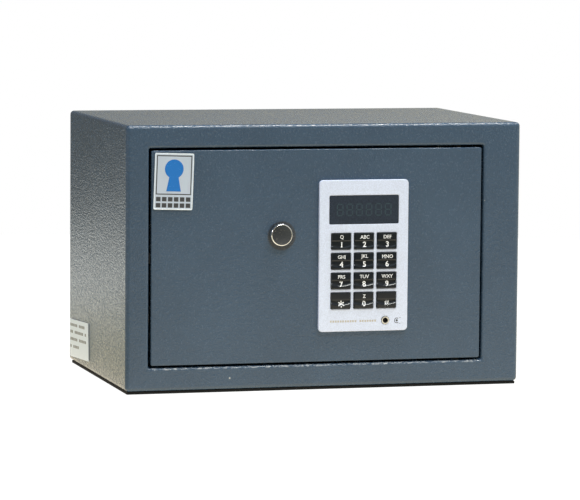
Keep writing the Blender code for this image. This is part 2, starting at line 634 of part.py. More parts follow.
def make_drive():
    """The gear motor on its bracket, and the pinion that drives the carriage."""
    gearbox_front, gearbox_back = PLATE_BACK + 1.8, FRONT + 17.0
    motor_y, motor_radius = PLATE_BACK + 7.8, 6.0
    gearbox = piece("gearbox", "nylon", box_rings((-58, -31), (gearbox_front, gearbox_back), (60, 86)))
    cut(gearbox, "shaft_hole", [rod("Y", (PINION_X, PINION_Z), 2.4, FRONT + 9.5, gearbox_back + 1, 16)])
    motor = piece("drive_motor", "plain_steel",
                  turned_rings("X", (motor_y, PINION_Z), [(motor_radius, -30.7), (motor_radius, -8), (2, -8), (2, -7)]))
    low, high, base = PINION_Z - 8, PINION_Z + 8, PLATE_BACK + GAP
    channel = [(base, low), (PLATE_BACK + 9, low), (PLATE_BACK + 9, low + 1.5), (base + 1.2, low + 1.5),
               (base + 1.2, high - 1.5), (PLATE_BACK + 9, high - 1.5), (PLATE_BACK + 9, high), (base, high)]
    bracket = piece("motor_bracket", "zinc_steel", [[(x, y, z) for y, z in channel] for x in (-30, -9)])
    pinion = piece("drive_pinion", "brass", prism_rings(gear_outline(), BOLT_Y - 2, BOLT_Y + 2))
    add(pinion, "shaft", [rod("Y", (PINION_X, PINION_Z), 2.0, FRONT + 10.5, BOLT_Y, 16)])
    return [gearbox, motor, bracket], origin_at(pinion, PINION_X, BOLT_Y, PINION_Z)


# ---------------------------------------------------------------------------------------------------- lock

def cam_outline():
    """The cam at home: a hub, and an arm that points down and to the left."""
    def point(distance, radius, angle):
        """A point on a circle whose centre is that far along the arm; angle 0 is the arm's own direction."""
        arm, turn = radians(225), radians(225) + angle
        return LOCK_X + distance * cos(arm) + radius * cos(turn), LOCK_Z + distance * sin(arm) + radius * sin(turn)

    lean = acos((CAM_HUB - CAM_TIP) / CAM_ARM)
    tip = [point(CAM_ARM, CAM_TIP, -lean + step * lean / 4) for step in range(9)]
    hub = [point(0.0, CAM_HUB, lean + step * (2 * pi - 2 * lean) / 14) for step in range(15)]
    return tip + hub


def make_lock():
    """The emergency lock's fixed barrel and nut, its turning plug and cam, and the cap over it."""
    centre = (LOCK_X, LOCK_Z)
    head_front, body_back = FRONT - 1.8, FRONT + 16.0
    bore, neck, head = 3.5, 6.0, 7.6
    barrel = piece("lock_barrel", "plain_steel",
                   turned_rings("Y", centre, [(bore, head_front), (head, head_front), (head, FRONT - GAP),
                                              (neck, FRONT - GAP), (neck, body_back), (bore, body_back)]), loop=True)
    nut = piece("lock_nut", "brass", rod("Y", centre, 9.2, PLATE_BACK + GAP, PLATE_BACK + 4.3, 6))
    cut(nut, "thread", [rod("Y", centre, neck + GAP, PLATE_BACK - 1, PLATE_BACK + 6)])
    plug = piece("lock_plug", "brass", rod("Y", centre, 3.2, head_front + 0.2, BOLT_Y + CARRIAGE_HALF + 0.6))
    cut(plug, "keyway", [box_rings((LOCK_X - 0.6, LOCK_X + 0.6), (head_front - 1, FRONT + 8), (LOCK_Z - 2, LOCK_Z + 2.4))])
    cam = piece("lock_cam", "zinc_steel", prism_rings(cam_outline(), BOLT_Y - CARRIAGE_HALF, BOLT_Y + CARRIAGE_HALF))
    cut(cam, "bore", [rod("Y", centre, bore, BOLT_Y - 3, BOLT_Y + 3)])
    cap = piece("lock_cap", "chrome",
                turned_rings("Y", centre, [(7.9, head_front - 0.4), (7.9, FRONT - GAP), (CAP_RADIUS, FRONT - GAP),
                                           (CAP_RADIUS, CAP_FRONT + 1.0), (CAP_RADIUS - 1.05, CAP_FRONT)], 32))
    for turning in (plug, cam, cap):
        origin_at(turning, LOCK_X, CAP_FRONT, LOCK_Z)
    return [barrel, nut, plug, cam, cap]


def make_door():
    """The door and everything that swings with it, hung on the line of its hinge pins."""
    things = [make_door_plate(), make_door_frame(), make_door_back_cover(), make_badge(), make_keypad_bezel()]
    things += make_hinge("upper", DOOR.top, 1) + make_hinge("lower", DOOR.bottom, -1)
    things += make_keypad_inside() + make_keys() + make_battery_pack()
    things += [make_battery_cover(), make_reset_button(), make_bolt_carriage()]
    things += [make_bolt("upper_bolt", BOLT_HEIGHTS[1]), make_bolt("lower_bolt", BOLT_HEIGHTS[0])]
    things += [make_guide_stud(number + 1, z) for number, z in enumerate(STUD_HEIGHTS)]
    fixed_drive, pinion = make_drive()
    things += fixed_drive + [pinion] + make_lock()
    things.append(make_lead("motor_lead", "lead_red",
                            [(-5.8, -88.2, 73), (-1.5, -88.2, 70), (1, -88.3, 58), (13, -89, 50), (18, -90.5, 49),
                             (19, -93.6, 49)]))
    things.append(make_lead("battery_lead", "lead_red",
                            [(60, -80, 61.6), (60, -81, 56), (57, -85, 50), (50, -89, 48), (46.5, -91, 48.5),
                             (46, -93.6, 49)]))
    hang_on(things, "door_hinge_line", HINGE_X, HINGE_Y, 0)


def stand_on_pad():
    """Lifts everything, cutters too, by the pad's thickness, so that height 0 is the pad's underside."""
    stand = bpy.data.objects.new("stand", None)
    stand.location = Vector((0, 0, PAD_THICKNESS)) * MM
    for thing in list(bpy.data.objects):
        if thing.parent is None and thing != stand:
            thing.parent = stand
    bpy.context.scene.collection.objects.link(stand)


def main():
    """Clears the scene and builds the safe."""
    for old in list(bpy.data.objects):
        bpy.data.objects.remove(old, do_unlink=True)
    make_cabinet()
    make_door()
    stand_on_pad()


main()
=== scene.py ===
"""Looks of a small in-room safe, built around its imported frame.

Sizes are in metres, in the frame's own axes: +X runs across the front towards the hinges, +Y to the back and
+Z up. Each sub-assembly is a class that holds its sizes, builds its meshes and dresses them. Each finish is a
class that builds one procedural material on Object coordinates.
"""
from __future__ import annotations

import json
import logging
import math
from dataclasses import dataclass, field
from enum import Enum
from typing import Callable, Iterable, Sequence

import bmesh
import bpy
from mathutils import Matrix, Vector


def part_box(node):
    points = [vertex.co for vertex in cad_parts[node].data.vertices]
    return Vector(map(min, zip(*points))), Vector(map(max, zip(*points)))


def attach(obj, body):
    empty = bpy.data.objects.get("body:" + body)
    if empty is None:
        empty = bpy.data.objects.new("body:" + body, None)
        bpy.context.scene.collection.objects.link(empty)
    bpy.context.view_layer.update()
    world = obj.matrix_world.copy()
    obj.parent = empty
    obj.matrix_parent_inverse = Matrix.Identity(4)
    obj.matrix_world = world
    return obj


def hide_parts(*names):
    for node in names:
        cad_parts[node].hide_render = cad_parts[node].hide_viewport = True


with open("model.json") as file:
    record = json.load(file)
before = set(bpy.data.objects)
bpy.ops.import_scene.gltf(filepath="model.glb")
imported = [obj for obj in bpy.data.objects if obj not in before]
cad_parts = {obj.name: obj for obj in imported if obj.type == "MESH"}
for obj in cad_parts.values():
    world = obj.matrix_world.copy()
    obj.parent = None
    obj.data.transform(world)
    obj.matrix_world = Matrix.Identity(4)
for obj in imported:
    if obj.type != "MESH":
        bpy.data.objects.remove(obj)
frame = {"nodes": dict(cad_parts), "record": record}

logging.basicConfig(level=logging.INFO, format="%(message)s")
log = logging.getLogger("safe")

MM = 0.001
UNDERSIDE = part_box("cabinet_shell")[0].z
CREASE = 38.0  # an edge that turns by more degrees than this stays sharp
CAPITAL = 0.73  # the built-in font's capital height, as a part of its size
PRINT_RELIEF = 0.03 * MM  # how far raised print stands out
Point2 = tuple[float, float]
Color = tuple[float, float, float]
Ring = list[Vector]


# -------------------------------------------------------------------------------- outlines

class Facing(Enum):
    """The axis that a flat or turned shape lies across."""

    X = "x"
    Y = "y"
    Z = "z"

    def lift(self, u: float, v: float, w: float) -> Vector:
        """A point whose flat coordinates are u and v, at w along the axis."""
        places = {Facing.X: (w, u, v), Facing.Y: (u, w, v), Facing.Z: (u, v, w)}
        return Vector(places[self])


@dataclass(frozen=True)
class Panel:
    """A rectangle in the flat coordinates of its facing."""

    left: float
    right: float
    bottom: float
    top: float

    @classmethod
    def of(cls, node: str) -> Panel:
        """The front view of a CAD node's box."""
        low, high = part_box(node)
        return cls(low.x, high.x, low.z, high.z)

    @classmethod
    def around(cls, centre: Point2, width: float, height: float) -> Panel:
        """A rectangle of a size about its centre."""
        u, v = centre
        return cls(u - width / 2, u + width / 2, v - height / 2, v + height / 2)

    def grown(self, amount: float) -> Panel:
        """The same rectangle with each side moved outwards."""
        return Panel(self.left - amount, self.right + amount, self.bottom - amount, self.top + amount)

    def middle(self) -> Point2:
        """The centre."""
        return (self.left + self.right) / 2, (self.bottom + self.top) / 2

    def outline(self, radius: float = 0.0, steps: int = 6, guard: float = 0.3 * MM) -> list[Point2]:
        """The corner points, anticlockwise.

        Args:
            radius: The corner radius; 0 gives four plain corners.
            steps: Flats in each rounded corner.
            guard: How far each straight side's own points stand from the corner's arc, to keep flats flat.

        Returns:
            The points of the closed outline.
        """
        if radius <= 0:
            return [(self.left, self.bottom), (self.right, self.bottom), (self.right, self.top),
                    (self.left, self.top)]
        points: list[Point2] = []
        inner = self.grown(-radius)
        corners = ((inner.left, inner.bottom, 180), (inner.right, inner.bottom, 270),
                   (inner.right, inner.top, 0), (inner.left, inner.top, 90))
        for u, v, start in corners:
            arc = [math.radians(start + 90 * step / steps) for step in range(steps + 1)]
            first, last = arc[0], arc[-1]
            rim = [(u + radius * math.cos(a), v + radius * math.sin(a)) for a in arc]
            before = (rim[0][0] + guard * math.sin(first), rim[0][1] - guard * math.cos(first))
            after = (rim[-1][0] - guard * math.sin(last), rim[-1][1] + guard * math.cos(last))
            points += [before, *rim, after]
        return points


def disc(centre: Point2, radius: float, steps: int = 48) -> list[Point2]:
    """A circle's points, anticlockwise."""
    turns = [2 * math.pi * step / steps for step in range(steps)]
    return [(centre[0] + radius * math.cos(turn), centre[1] + radius * math.sin(turn)) for turn in turns]


def offset(points: Sequence[Point2], distance: float) -> list[Point2]:
    """Moves an anticlockwise outline outwards by a distance, mitred at its corners.

    Args:
        points: The outline's points.
        distance: How far outwards; less than 0 is inwards.

    Returns:
        The moved points.
    """
    moved: list[Point2] = []
    for before, here, after in zip([points[-1], *points[:-1]], points, [*points[1:], points[0]]):
        one = Vector((here[0] - before[0], here[1] - before[1])).normalized()
        two = Vector((after[0] - here[0], after[1] - here[1])).normalized()
        out_one, out_two = Vector((one.y, -one.x)), Vector((two.y, -two.x))
        mitre = (out_one + out_two) / max(1 + out_one.dot(out_two), 0.2)
        moved.append((here[0] + mitre.x * distance, here[1] + mitre.y * distance))
    return moved


# -------------------------------------------------------------------------------- node trees

class Tree:
    """A node tree under construction."""

    def __init__(self, tree: bpy.types.NodeTree) -> None:
        """Starts on an existing tree."""
        self.tree = tree

    def node(self, kind: str, settings: dict | None = None, inputs: dict | None = None) -> bpy.types.Node:
        """Adds a node.

        Args:
            kind: The node's type name.
            settings: Properties to set first; "stops" fills a colour ramp.
            inputs: Values or wires for its sockets, by name or number.

        Returns:
            The node.
        """
        made = self.tree.nodes.new(kind)
        for key, value in (settings or {}).items():
            if key == "stops":
                self.fill_ramp(made, value)
            else:
                setattr(made, key, value)
        for key, value in (inputs or {}).items():
            self.feed(made.inputs[key], value)
        return made

    @staticmethod
    def fill_ramp(node: bpy.types.Node, stops: Sequence[tuple]) -> None:
        """Sets a colour ramp's stops, each a place and a colour.

        Args:
            node: The colour ramp.
            stops: The stops.
        """
        elements = node.color_ramp.elements
        while len(elements) < len(stops):
            elements.new(1.0)
        for element, (place, color) in zip(elements, stops):
            element.position = place
            element.color = (*color, 1.0)

    def feed(self, socket: bpy.types.NodeSocket, value: object) -> None:
        """Links a wire to a socket, or sets its value.

        Args:
            socket: An input socket.
            value: A wire, or what the socket holds.
        """
        if isinstance(value, Wire):
            self.tree.links.new(value.socket, socket)
        else:
            socket.default_value = value

    def wire(self, node: bpy.types.Node, output: str | int = 0) -> Wire:
        """One output of a node, ready for arithmetic."""
        return Wire(self, node.outputs[output])

    def math(self, operation: str, *values: object) -> Wire:
        """A Math node on numbers or wires."""
        return self.wire(self.node("ShaderNodeMath", {"operation": operation}, dict(enumerate(values))))

    def vector(self, operation: str, *values: object, output: int = 0) -> Wire:
        """A Vector Math node on vectors or wires."""
        node = self.node("ShaderNodeVectorMath", {"operation": operation}, dict(enumerate(values)))
        return self.wire(node, output)


class Wire:
    """A socket on which Python's operators add Math nodes."""

    def __init__(self, tree: Tree, socket: bpy.types.NodeSocket) -> None:
        """Wraps an output socket."""
        self.tree = tree
        self.socket = socket

    def __add__(self, other: object) -> Wire:
        """Self plus other."""
        return self.tree.math("ADD", self, other)

    def __sub__(self, other: object) -> Wire:
        """Self minus other."""
        return self.tree.math("SUBTRACT", self, other)

    def __rsub__(self, other: object) -> Wire:
        """Other minus self."""
        return self.tree.math("SUBTRACT", other, self)

    def __mul__(self, other: object) -> Wire:
        """Self times other."""
        return self.tree.math("MULTIPLY", self, other)

    __radd__ = __add__
    __rmul__ = __mul__

    def above(self, low: float, high: float) -> Wire:
        """A smooth mask that rises from 0 at low to 1 at high.

        Args:
            low: Where it starts to rise.
            high: Where it reaches 1.

        Returns:
            The mask.
        """
        node = self.tree.node("ShaderNodeMapRange", {"interpolation_type": "SMOOTHSTEP"},
                              {"Value": self, "From Min": low, "From Max": high})
        return self.tree.wire(node)


class Surface(Tree):
    """A material's node tree, with the textures that the finishes share."""

    def __init__(self, name: str) -> None:
        """Makes the material with its Principled shader.

        Args:
            name: The material's name.
        """
        self.material = bpy.data.materials.new(name)
        self.material.use_nodes = True
        super().__init__(self.material.node_tree)
        self.shader = self.tree.nodes["Principled BSDF"]
        self.place = self.wire(self.node("ShaderNodeTexCoord"), "Object")

    def noise(self, grain: float, detail: float = 2.0, roughness: float = 0.5,
              stretch: Sequence[float] | None = None) -> Wire:
        """Noise from 0 to 1.

        Args:
            grain: How far across its features are, in metres.
            detail: How many finer layers it has.
            roughness: How strong the finer layers are.
            stretch: A factor on each axis; less than 1 draws the features out.

        Returns:
            The noise.
        """
        place = self.place
        if stretch:
            place = self.vector("MULTIPLY", place, tuple(stretch))
        node = self.node("ShaderNodeTexNoise", inputs={"Vector": place, "Scale": 1 / grain, "Detail": detail,
                                                       "Roughness": roughness})
        return self.wire(node)

    def spot(self, centre: Sequence[float], radius: float) -> Wire:
        """A mask that is 1 near a point and fades to 0 at radius."""
        away = self.vector("DISTANCE", self.place, tuple(centre), output=1)
        return 1 - away.above(radius * 0.5, radius)

    def mix(self, factor: object, first: object, second: object) -> Wire:
        """A blend of two colours.

        Args:
            factor: How much of the second colour there is.
            first: The first colour.
            second: The second colour.

        Returns:
            The blend.
        """
        node = self.node("ShaderNodeMix", {"data_type": "RGBA"}, {"Factor": factor})
        for socket, value in ((node.inputs[6], first), (node.inputs[7], second)):
            self.feed(socket, (*value, 1.0) if isinstance(value, tuple) else value)
        return self.wire(node, 2)

    def shade(self, **values: object) -> None:
        """Feeds the shader's sockets, named with underscores for spaces."""
        for name, value in values.items():
            socket = self.shader.inputs[name.replace("_", " ").title().replace("Ior", "IOR")]
            self.feed(socket, (*value, 1.0) if isinstance(value, tuple) and len(value) == 3 else value)

    def relief(self, height: Wire, depth: float) -> None:
        """Bumps the surface by a height of 0 to 1 over a depth in metres."""
        bump = self.node("ShaderNodeBump", inputs={"Height": height, "Distance": depth, "Strength": 1.0})
        self.shade(normal=self.wire(bump))


# -------------------------------------------------------------------------------- finishes

def srgb(red: int, green: int, blue: int) -> Color:
    """A display colour as linear values.

    Args:
        red: Red, from 0 to 255.
        green: Green.
        blue: Blue.

    Returns:
        The linear colour.
    """
    def linear(level: int) -> float:
        """One channel."""
        part = level / 255
        return part / 12.92 if part <= 0.04045 else ((part + 0.055) / 1.055) ** 2.4

    return linear(red), linear(green), linear(blue)


def scaled(color: Sequence[float], factor: float) -> Color:
    """A colour made lighter or darker."""
    return tuple(min(1.0, channel * factor) for channel in color)


@dataclass(frozen=True)
class Finish:
    """A finish with soft variation in its colour and roughness."""

    name: str
    color: Color
    roughness: float = 0.4
    metallic: float = 0.0
    grain: float = 2.0 * MM
    mottle: float = 0.08
    depth: float = 0.0
    specular: float = 0.5

    def material(self) -> bpy.types.Material:
        """The material, made the first time it is asked for.

        Returns:
            The material.
        """
        label = f"{self.name}_finish"
        if label not in bpy.data.materials:
            surface = Surface(label)
            surface.shader.inputs["Specular IOR Level"].default_value = self.specular
            self.dress(surface)
            return surface.material
        return bpy.data.materials[label]

    def shades(self) -> tuple[Color, Color]:
        """The darkest and the lightest colour of its mottling."""
        return scaled(self.color, 1 - self.mottle), scaled(self.color, 1 + self.mottle)

    def dress(self, surface: Surface) -> None:
        """Builds the nodes: mottled colour and roughness, and a fine relief if the finish has a depth.

        Args:
            surface: The material under construction.
        """
        fine = surface.noise(self.grain, 3.0)
        surface.shade(base_color=surface.mix(fine, *self.shades()), metallic=self.metallic,
                      roughness=fine * 0.12 + (self.roughness - 0.06))
        if self.depth:
            surface.relief(fine, self.depth)


@dataclass(frozen=True)
class Paint(Finish):
    """Baked textured paint: orange-peel relief, fine mottling, slow clouds, chips, burnished edges with
    painted highlights, and painted shadows.

    A chip or a painted shadow is a point and a radius. A burnished edge, which also carries a painted
    highlight, is its middle, its half length along X and its radius.
    """

    peel: float = 1.3 * MM
    drawn_out: float = 0.28
    cloud: float = 60 * MM
    fray: float = 1.5 * MM
    edge_fade: float = 4 * MM
    primer: Color = (0.45, 0.47, 0.48)
    # the colour of the painted shadow round the lock cap
    shadow_tint: Color = (0.026, 0.026, 0.026)
    # the burnished colour, light enough to serve also as a painted highlight on the bends
    burnish_and_highlight: Color = (0.44, 0.48, 0.52)
    chips: tuple[tuple[Vector, float], ...] = ()
    # burnished edges, each also a painted highlight where the bend catches the light
    edges: tuple[tuple[Vector, float, float], ...] = ()
    # painted shadows: each a dark disc that stands in for the shade the lock cap casts on the door
    painted_shadows: tuple[tuple[Vector, float], ...] = ()

    def dress(self, surface: Surface) -> None:
        """Builds the paint.

        Args:
            surface: The material under construction.
        """
        drawn = surface.noise(self.peel, stretch=(1.0, self.drawn_out, 1.0))
        peel = drawn * 0.55 + surface.noise(self.peel * 0.8) * 0.45
        fine = surface.noise(self.peel / 4, 2.0, 0.6)
        cloud = surface.noise(self.cloud, 3.0, 0.6)
        tone = (cloud - 0.5) * 0.8 + (fine - 0.5) * 1.3 + (peel - 0.5) * 1.2 + 0.5
        color = surface.mix(tone, *self.shades())
        for centre, radius in self.chips:
            color = surface.mix(surface.spot(centre, radius) * 0.8, color, self.primer)
        # painted shadow: darkens the paint in a disc round each point, for the shade cast by the lock cap
        for centre, radius in self.painted_shadows:
            away = surface.vector("LENGTH", surface.vector("SUBTRACT", surface.place, centre), output=1)
            color = surface.mix((1 - away.above(radius * 0.9, radius * 1.05)) * 0.75, color, self.shadow_tint)
        # burnish along the bends, broken into dashes; it also paints in the highlights that the bends catch
        for centre, reach, radius in self.edges:
            near = self.near_edge(surface, centre, reach, radius)
            frayed = surface.noise(self.fray, 2.0, 0.6, (0.5, 1.0, 1.0)).above(0.44, 0.66)
            color = surface.mix(near * frayed * 0.7, color, self.burnish_and_highlight)
        surface.shade(base_color=color, metallic=self.metallic,
                      roughness=(drawn - 0.5) * 0.6 + (fine - 0.5) * 0.15 + self.roughness)
        surface.relief(peel * 0.93 + fine * 0.07, self.depth)

    def near_edge(self, surface: Surface, centre: Vector, reach: float, radius: float) -> Wire:
        """A mask along an edge that runs across X.

        Args:
            surface: The material under construction.
            centre: The edge's middle.
            reach: Its half length.
            radius: How far the mask goes from it.

        Returns:
            The mask, 1 on the edge.
        """
        away = surface.vector("SUBTRACT", surface.place, centre)
        along = surface.vector("LENGTH", surface.vector("MULTIPLY", away, (1.0, 0.0, 0.0)), output=1)
        across = surface.vector("LENGTH", surface.vector("MULTIPLY", away, (0.0, 1.0, 1.0)), output=1)
        return (1 - across.above(radius * 0.5, radius)) * (1 - along.above(reach - self.edge_fade, reach))


@dataclass(frozen=True)
class ReflectionTinted(Finish):
    """Polished metal coloured with warm patches, a painted reflection of a warm room."""

    reflection_tint: Color = (0.16, 0.14, 0.10)
    patch: float = 5 * MM

    def dress(self, surface: Surface) -> None:
        """Builds the metal with its painted reflection patches.

        Args:
            surface: The material under construction.
        """
        fine = surface.noise(self.grain, 3.0, 0.6)
        # warm patches painted into the metal's colour, standing in for a warm reflection
        reflection_patches = fine.above(0.54, 0.70) * surface.noise(self.patch, 1.0).above(0.45, 0.60)
        color = surface.mix(reflection_patches * 0.7, surface.mix(fine, *self.shades()), self.reflection_tint)
        surface.shade(base_color=color, roughness=reflection_patches * 0.25 + self.roughness, metallic=self.metallic)


@dataclass(frozen=True)
class Sparkle(Finish):
    """Silver moulding with fine metallic flakes in it."""

    cloud: float = 30 * MM

    def dress(self, surface: Surface) -> None:
        """Builds the flaked plastic.

        Args:
            surface: The material under construction.
        """
        flake = surface.wire(surface.node("ShaderNodeTexVoronoi", {"feature": "F1"},
                                          {"Vector": surface.place, "Scale": 1 / self.grain}), "Color")
        level = surface.wire(surface.node("ShaderNodeRGBToBW", inputs={0: flake}))
        tone = level * 0.7 + surface.noise(self.cloud) * 0.3
        surface.shade(base_color=surface.mix(tone, *self.shades()), metallic=self.metallic,
                      roughness=level * 0.2 + (self.roughness - 0.1))
        surface.relief(level, self.depth)


@dataclass(frozen=True)
class Brushed(Finish):
    """Metal with fine lines along one axis."""

    along: Facing = Facing.X
    drawn_out: float = 0.04
    stain: float = 14 * MM
    least_depth: float = 0.004 * MM

    def dress(self, surface: Surface) -> None:
        """Builds the lined metal.

        Args:
            surface: The material under construction.
        """
        stretch = [self.drawn_out if facing is self.along else 1 for facing in Facing]
        lines = surface.noise(self.grain, 4.0, 0.6, stretch)
        stain = surface.noise(self.stain, 3.0)
        color = surface.mix(lines * 0.6 + stain * 0.4, *self.shades())
        surface.shade(base_color=color, metallic=self.metallic,
                      roughness=lines * 0.18 + stain * 0.1 + (self.roughness - 0.14))
        surface.relief(lines, self.depth or self.least_depth)


@dataclass(frozen=True)
class Felt(Finish):
    """Needled felt: crossed fibres over a lumpy base."""

    fibre: float = 0.7 * MM
    lump: float = 9 * MM

    def dress(self, surface: Surface) -> None:
        """Builds the felt.

        Args:
            surface: The material under construction.
        """
        long_way, cross = (surface.noise(self.fibre, 3.0, 0.7, way) for way in ((0.15, 1, 1), (1, 0.15, 1)))
        lumps = surface.noise(self.lump)
        fibre = surface.math("MAXIMUM", long_way, cross)
        color = surface.mix(fibre * 0.7 + lumps * 0.3, scaled(self.color, 0.55), scaled(self.color, 1.5))
        surface.shade(base_color=color, roughness=self.roughness)
        surface.relief(fibre * 0.8 + lumps * 0.2, self.depth)


PAINT = Paint("textured_paint", (0.0375, 0.072, 0.126), 0.185, mottle=0.22, depth=0.65 * MM, peel=1.3 * MM,
              chips=((Vector((-0.0745, -0.1, UNDERSIDE + 8.5 * MM)), 0.9 * MM),
                     (Vector((0.1266, -0.1, UNDERSIDE + 140.2 * MM)), 0.5 * MM)),
              # burnish and painted highlight on the lip under the door and on the top front bend
              edges=((Vector((-0.006, -0.0993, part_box("door_plate")[0].z - 2.6 * MM)), 133 * MM, 1.4 * MM),
                     (Vector((0.0, -0.0992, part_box("cabinet_shell")[1].z - 0.8 * MM)), 156 * MM, 0.7 * MM)),
              # painted shadow round the lock cap
              painted_shadows=((Vector((-0.0346, -0.1, UNDERSIDE + 115.7 * MM)), 11.3 * MM),))
PLAIN_STEEL = Brushed("plain_steel", (0.52, 0.53, 0.54), 0.42, 1.0, 0.5 * MM, 0.15)
ZINC = Brushed("zinc_plate", (0.66, 0.66, 0.63), 0.34, 1.0, 0.6 * MM, 0.10)
BOLT_STEEL = Brushed("ground_bolt_steel", (0.72, 0.72, 0.72), 0.22, 1.0, 0.25 * MM, 0.06, along=Facing.Y)
GREASED = Finish("greased_steel", (0.030, 0.028, 0.026), 0.5, 1.0, 1 * MM, 0.3)
CHROME = Finish("bright_chrome", (0.78, 0.79, 0.81), 0.14, 1.0, 6 * MM, 0.02)
# chrome face coloured dark and warm-patched: a painted reflection of a dark, warm room
DARK_REFLECTION_CHROME = ReflectionTinted("dark_reflection_mirror", (0.11, 0.125, 0.155), 0.18, 1.0, 1.5 * MM, 0.25)
BRASS = Brushed("brass", (0.70, 0.52, 0.24), 0.32, 1.0, 0.5 * MM, 0.08)
SILVER = Sparkle("silver_moulding", (0.585, 0.665, 0.87), 0.38, 0.0, 0.7 * MM, 0.16, 0.02 * MM)
KEY_BLACK = Finish("key_gloss", (0.0030, 0.0062, 0.0115), 0.09, 0.0, 3 * MM, 0.25, specular=0.45)
WHITE_PRINT = Finish("white_print", (0.86, 0.90, 0.97), 0.45, 0.0, 0.8 * MM, 0.03)
DARK_PRINT = Finish("dark_print", (0.035, 0.04, 0.05), 0.5, 0.0, 0.8 * MM, 0.15)
FAINT_PRINT = Finish("unlit_segments", (0.021, 0.043, 0.063), 0.22, 0.0, 0.8 * MM, 0.35)
TAN_PRINT = Finish("tan_print", (0.44, 0.42, 0.38), 0.45, 0.0, 0.8 * MM, 0.15)
BLUE_PRINT = Finish("blue_enamel", (0.012, 0.155, 0.52), 0.25, 0.0, 1.5 * MM, 0.05)
WINDOW = Finish("smoked_window", (0.015, 0.025, 0.046), 0.18, 0.0, 1.2 * MM, 0.5)
BLACK_PLASTIC = Finish("black_plastic", (0.022, 0.022, 0.024), 0.55, 0.0, 0.5 * MM, 0.15, 0.02 * MM)
RUBBER = Finish("grey_rubber", (0.022, 0.022, 0.024), 0.8, 0.0, 0.6 * MM, 0.15, 0.02 * MM)
# near-black base pad: rubber, its near-black colour also standing in for the shadow gap under the safe as
# painted shade
PAD_RUBBER_SHADE = Finish("pad_rubber_and_shade", (0.008, 0.009, 0.011), 0.85, 0.0, 0.8 * MM, 0.25, 0.03 * MM, specular=0.2)
BOARD = Finish("board_lacquer", (0.02, 0.13, 0.06), 0.35, 0.0, 1.2 * MM, 0.2, 0.01 * MM)
PAPER = Finish("label_paper", srgb(236, 244, 255), 0.6, 0.0, 0.5 * MM, 0.03, 0.005 * MM)
GREY_PRINT = Finish("grey_print", srgb(150, 150, 150), 0.6, 0.0, 0.6 * MM, 0.15)
BADGE_SILVER = Brushed("badge_silver", srgb(192, 206, 228), 0.34, 0.35, 0.5 * MM, 0.05)
BADGE_RIM = Finish("badge_rim", srgb(226, 238, 254), 0.3, 0.2, 1 * MM, 0.03)
FELT = Felt("needled_felt", (0.035, 0.036, 0.040), 0.95, depth=0.4 * MM)
BATTERY = Finish("battery_wrap", (0.42, 0.25, 0.05), 0.3, 0.4, 4 * MM, 0.2)
RED = Finish("red_cap", (0.45, 0.02, 0.02), 0.3, 0.0, 1.5 * MM, 0.1)
LEAD_RED = Finish("lead_sleeve", (0.40, 0.02, 0.02), 0.5, 0.0, 1 * MM, 0.1)
NYLON = Finish("nylon", (0.66, 0.64, 0.58), 0.5, 0.0, 1.5 * MM, 0.05, 0.01 * MM)

SLOT_FINISHES: dict[str, Finish] = {
    "cabinet_paint": PAINT, "door_paint": PAINT, "plain_steel": PLAIN_STEEL, "zinc_steel": ZINC,
    "bolt_steel": BOLT_STEEL, "chrome": CHROME, "brass": BRASS, "silver_plastic": SILVER,
    "key_black": KEY_BLACK, "black_plastic": BLACK_PLASTIC, "smoked_window": WINDOW, "grey_rubber": RUBBER,
    "black_rubber": PAD_RUBBER_SHADE, "board_green": BOARD, "label_white": PAPER, "badge_metal": BADGE_SILVER,
    "felt": FELT, "battery_can": BATTERY, "red_plastic": RED, "lead_red": LEAD_RED, "nylon": NYLON,
}


# -------------------------------------------------------------------------------- meshes

